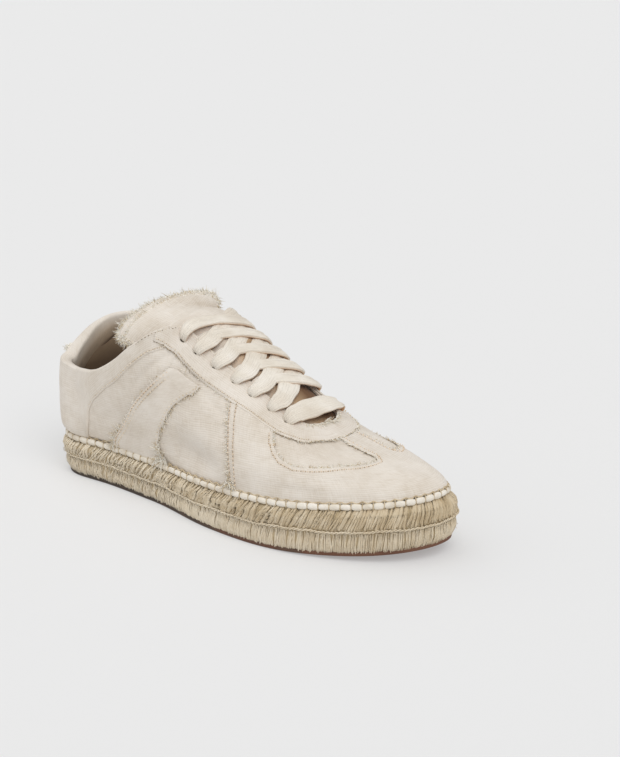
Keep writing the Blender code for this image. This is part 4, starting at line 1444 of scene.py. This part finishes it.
def edge_line(name):
    """The turns and rises of an edge on the outer side, and how far it stands off the upper."""
    flat = PANEL_GAP + PANEL
    if name == "quarter":
        arm = np.linspace(38.1, 76, 140)
        rise = np.concatenate([np.linspace(0.02, 0.03, 20), straight(REAR_QUARTER, "low", arm)])
        return np.concatenate([np.full(20, 38.0), arm]), rise, 0.45 * MM
    if name in ("band_rear", "band_front"):
        rise = np.linspace(0.03, 0.67, 120)
        high = flat + (0.8 if name == "band_rear" else -0.4) * MM
        return straight(SIDE_BAND, name[5:], rise), rise, high
    if name == "guard_rear":
        return np.full(120, GUARD_FROM), np.linspace(0.03, 0.7, 120), flat - 0.7 * MM
    if name == "window":
        sill_turn = np.linspace(112.6, 169.9, 200)
        stem = np.linspace(0.6, 0.85, 60)
        rise = [np.linspace(0.69, 0.56, 40), straight(WINDOW, "low", sill_turn), stem]
        turn = [np.full(40, WINDOW_FROM), sill_turn, STEM_FROM - STEM_SPREAD * climbed(stem)]
        return np.concatenate(turn), np.concatenate(rise), flat
    turn = np.linspace(73.6, 180, 400)
    return turn, eyestay_low(turn), flat


def beside(name, mirrored, aside=0.0, above=0.0):
    """Points beside an edge, and the ways along it, out of the cloth and towards the heel."""
    turn, rise, high = edge_line(name)
    if mirrored:
        turn = 360 - turn
        high = min(high, PANEL_GAP + PANEL)
    line = on_upper(turn, rise, high + above)
    out = upper_out(turn, rise)
    ahead = unit(np.gradient(line, axis=0))
    side = np.cross(out, ahead) * (-1 if mirrored else 1)
    return line + side * aside, ahead, out, side


def picked(rows, behind, at):
    """What a row of points or directions holds at some ways along it."""
    return [np.stack([np.interp(at, behind, row[:, k]) for k in range(3)], -1) for row in rows]


def evenly(points, pitch, *others):
    """The points, and what goes with them, resampled an equal way apart."""
    behind = walked(points)
    return picked((points, *others), behind, np.arange(pitch / 2, behind[-1], pitch))


threads = {
    "cream": soft_thread("spun cream cotton thread", "efe4d2", "cfbc9b"),
    "peach": soft_thread("spun peach cotton thread", "f2e1cc", "e0c9ab"),
}
holes, hole_sizes = [], []
for thread, thread_material in threads.items():
    matrices = []
    for stitch in (row for row in STITCHES if row.thread == thread):
        for mirrored in (False, True):
            seam = beside(stitch.edge, mirrored, stitch.aside * MM, stitch.above * MM)
            line, ahead, out = (values[: int(stitch.until * len(values))] for values in seam[:3])
            places, headings, ups = evenly(line, STITCH_PITCH, ahead, out)
            ups = unit(ups)
            matrices.append(frames(places + ups * 0.1 * MM, headings, ups))
            between = places + ups * 0.03 * MM + headings * STITCH_PITCH / 2
            holes.append(frames(between, headings, ups))
            hole_sizes.append(np.full(len(places), 1.0 if thread == "peach" else 0.72))
    matrices = np.concatenate(matrices)
    stitch_model = add_ball(6, 4, 0.5, (STITCH_LONG, STITCH_WIDE, STITCH_WIDE * 0.8), turned=True)
    stitching = lay_copies("stitching_" + thread, stitch_model, matrices)
    finish(stitching, thread_material, "canvas")

# Each needle hole is drawn as a flat brown dot on the cloth: painted shade in the pit that the
# thread draws down.
hole_model = add_ball(6, 4, 0.5, (1.05 * MM, 0.9 * MM, 0.16 * MM))
needle_holes = lay_copies(
    "stitching_needle_holes", hole_model, np.concatenate(holes), np.concatenate(hole_sizes)
)
shaded_hole, tree, shader = add_material("shaded needle hole in canvas")
feed(tree, shader, Base_Color=linear("b39c80"), Roughness=1.0)
finish(needle_holes, shaded_hole, "canvas")

# ---------------------------------------------------------------- frayed edges
# Where a ply's edge was left raw, its cross threads have worked out and the long ones stand
# off it in a fringe, thickest at the foot of the waist seams.

FRINGE_STEPS = np.linspace(0, 1, 5)[None, :, None]

# Each fringe: the edge, which way it points (1 is towards the heel on the outer side), where
# along the edge it starts and ends, its threads for each mm, and their length in mm.
FRINGES = table(
    "edge way start end thick long",
    ("band_rear", 1, 0.0, 1.0, 2.2, 1.6),
    ("band_rear", 1, 0.0, 0.45, 3.4, 3.6),
    ("band_rear", -1, 0.0, 0.3, 2.4, 2.6),
    ("band_front", -1, 0.0, 1.0, 2.6, 1.6),
    ("band_front", -1, 0.0, 0.6, 1.4, 3.2),
    ("band_front", 1, 0.0, 0.2, 7.0, 5.5),
    ("band_front", -1, 0.0, 0.12, 6.0, 4.5),
    ("guard_rear", 1, 0.0, 1.0, 3.0, 1.8),
    ("guard_rear", 1, 0.0, 0.3, 2.0, 3.4),
    ("guard_rear", -1, 0.0, 0.2, 4.0, 3.6),
    ("window", 1, 0.0, 1.0, 5.0, 1.5),
    ("stay", -1, 0.0, 1.0, 2.2, 1.0),
    ("stay", -1, 0.45, 1.0, 3.5, 1.5),
)


def fringe(edge_points, ahead, out, way, thick, long):
    """Threads that leave a raw edge, each at its own angle and with its own curl."""
    span = np.linalg.norm(np.diff(edge_points, axis=0), axis=1).sum()
    count = int(span / MM * thick)
    behind = np.linspace(0, 1, len(edge_points))
    at = np.sort(chance.uniform(0, 1, count))
    root, along_edge, off, push = picked((edge_points, ahead, out, way), behind, at)
    lean = chance.normal(0, 0.5, (count, 1))
    heading = push * np.cos(lean) + along_edge * np.sin(lean)
    heading = unit(heading + off * chance.uniform(-0.05, 0.3, (count, 1)))
    length = (long * MM * chance.gamma(4, 0.25, (count, 1)))[:, None]
    curl = unit(np.cross(heading, off)) * chance.normal(0, 0.35, (count, 1))
    curl = curl + off * chance.normal(0.05, 0.2, (count, 1))
    start = root - push * 0.3 * MM - off * 0.3 * MM
    straight_on = start[:, None] + heading[:, None] * length * FRINGE_STEPS
    return straight_on + curl[:, None] * length * FRINGE_STEPS**2


# Cotton thread worked loose: pale cream, and tan where an end has caught the dirt.
raw_thread, tree, shader = add_material("loosened raw cotton thread")
tone = add_node(tree, "Attribute", {"attribute_name": "tone"}).outputs["Fac"]
shade = colour_ramp(tree, tone, (0.0, "bfa782"), (0.22, "e2d3b6"), (0.45, "faf5ea"))
feed(tree, shader, Base_Color=shade, Roughness=0.9)


def lay_frays(name, paths, thin, thick, darkest):
    """One piece of loose threads, each of its own thickness and tone."""
    paths = np.concatenate(paths)
    sizes = chance.uniform(thin, thick, len(paths)) * MM
    tones = chance.uniform(darkest, 1, len(paths))
    finish(lay_threads(name, paths, sizes, tones=tones), raw_thread, "canvas")


paths = []
for row in FRINGES:
    for mirrored in (False, True):
        line, ahead, out, side = beside(row.edge, mirrored)
        first, last = int(row.start * (len(line) - 1)), int(row.end * (len(line) - 1)) + 1
        part = slice(first, last)
        way = side[part] * row.way
        paths.append(fringe(line[part], ahead[part], out[part], way, row.thick, row.long))

# At the foot of each waist seam the torn ends hang out over the whip stitches: at which turn,
# within how many mm to each side, how many, and how long in mm.
FEET = ((71.5, 3.2, 90, 6.5), (51.0, 2.2, 40, 3.6), (97.5, 3.0, 60, 3.8), (288.5, 3.0, 50, 4.5))
for turn, wide, count, long in FEET:
    at = turn + chance.uniform(-wide, wide, (count, 1)) * turn_each_mm
    root = on_upper(at, 0.015 + chance.uniform(0, 0.05, (count, 1)), 1.6 * MM)[:, 0]
    off = upper_out(at, 0.02)[:, 0]
    sideways = unit(np.cross(off, UP))
    heading = off * chance.uniform(0.2, 0.7, (count, 1))
    heading = heading + sideways * chance.normal(0, 0.9, (count, 1))
    heading = unit(heading + UP * chance.uniform(-0.9, 0.5, (count, 1)))
    length = long * MM * chance.uniform(0.35, 1.1, (count, 1))
    curl = (UP * -0.6 + sideways * chance.normal(0, 0.5, (count, 1))) * length
    straight_on = root[:, None] + heading[:, None] * length[:, None] * FRINGE_STEPS
    paths.append(straight_on + curl[:, None] * FRINGE_STEPS**2)
lay_frays("frayed_panel_threads", paths, 0.12, 0.27, 0)

# Short thread ends, coloured dark brown as painted shade, line the U's raw edge at its rear
# and in front, the side bands' front edges, and the U's rear end at the throat. Each row is an
# edge, whether it is on the inner side, and the part of it that the ends darken.
SHADE_ENDS = (
    ("stay", False, 0, 0.27),
    ("stay", False, 0.62, 1),
    ("stay", True, 0, 0.27),
    ("stay", True, 0.62, 1),
    ("band_front", False, 0.1, 1),
    ("band_front", True, 0.1, 1),
)
steps = np.linspace(-0.5, 0.5, 4)[None, :, None]
paths = []
for name, mirrored, first, last in SHADE_ENDS:
    line, ahead, _, _ = beside(name, mirrored, -0.15 * MM, -0.25 * MM)
    line, ahead = evenly(line, (1.5 if name == "stay" else 2.4) * MM, ahead)
    kept = slice(int(first * len(line)), int(last * len(line)))
    line = line[kept] + chance.normal(0, 0.22 * MM, line[kept].shape)
    length = chance.uniform(0.5, 1.7, (len(line), 1)) * MM
    paths.append(line[:, None] + ahead[kept][:, None] * length[:, None] * steps)
top_turn = np.linspace(70, 79, 16)
line = on_upper(top_turn, 0.992, 0.9 * MM) + chance.normal(0, 0.2 * MM, (len(top_turn), 3))
ahead = unit(np.gradient(line, axis=0))
length = chance.uniform(0.6, 1.6, (len(line), 1, 1))
paths.append(line[:, None] + ahead[:, None] * length * MM * steps)
paths = np.concatenate(paths)
dark_ends = lay_threads("frayed_dark_ends", paths, chance.uniform(0.16, 0.3, len(paths)) * MM, 4)
# Dark brown: painted shade along the raw edges.
painted_shade_thread = soft_thread("raw cotton thread dark as painted shade", "9c8566", "6e5b43")
finish(dark_ends, painted_shade_thread, "canvas")

# The U's throat edge: all of it, then more in front and at its outer rear corner.
throat_turn = np.linspace(73.6, 286.4, 500)
throat = on_upper(throat_turn, stay_high(throat_turn), PANEL + 0.1 * MM)
throat_out = upper_out(throat_turn, 0.985)
throat_ahead = unit(np.gradient(throat, axis=0))
throat_way = -np.cross(throat_out, throat_ahead)
spans = ((slice(None), 1.4, 1.1), (slice(118, 382), 9.0, 2.6), (slice(0, 60), 2.5, 1.8))
paths = []
for at, thick, long in spans:
    paths.append(fringe(throat[at], throat_ahead[at], throat_out[at], throat_way[at], thick, long))
lay_frays("frayed_throat_threads", paths, 0.12, 0.24, 0.1)

# The tongue's free edges, where two plies end one above the other.
across_way = unit(np.gradient(tongue_grid, axis=1))
up_way = unit(np.gradient(tongue_grid, axis=0))
tongue_out = unit(np.cross(across_way, up_way))
free = slice(74, TONGUE_UP)


def tongue_fringe(at, ahead, way, thick, long, drop=0):
    """A fringe along a row or a column of the tongue's points, some mm below its face."""
    line = tongue_grid[at] - tongue_out[at] * drop * MM
    return fringe(line, ahead[at], tongue_out[at], way[at], thick, long)


paths = []
for deep, drop in ((0, 0), (0, 1.2), (0, 2.4), (3, 0)):
    paths.append(tongue_fringe(TONGUE_UP - 1 - deep, across_way, up_way, 8.0, 2.2, drop))
    paths.append(tongue_fringe((free, deep), up_way, -across_way, 8.0, 2.4, drop))
    paths.append(tongue_fringe((free, -1 - deep), up_way, across_way, 4.0, 2.2, drop))
paths.append(tongue_fringe((slice(76, 96), 0), up_way, -across_way, 14.0, 4.5))
lay_frays("frayed_tongue_threads", paths, 0.13, 0.27, 0.1)

# A tuft of thick loose yarns at the top of the heel, where the counter's ends meet.
tuft_turn = np.linspace(352.5, 356, 30)
paths = []
for rise, climb in ((0.93, 0.2), (0.965, 0.5), (0.99, 0.9)):
    tuft = on_upper(tuft_turn, rise, 1.2 * MM)
    tuft_out = upper_out(tuft_turn, rise)
    tuft_up = unit(upper_at(tuft_turn, 1.0) - upper_at(tuft_turn, 0.95))
    tuft_way = unit(tuft_out + tuft_up * climb)
    paths.append(fringe(tuft, unit(np.gradient(tuft, axis=0)), tuft_out, tuft_way, 42.0, 2.0))
lay_frays("frayed_heel_tuft", paths, 0.32, 0.55, 0.3)
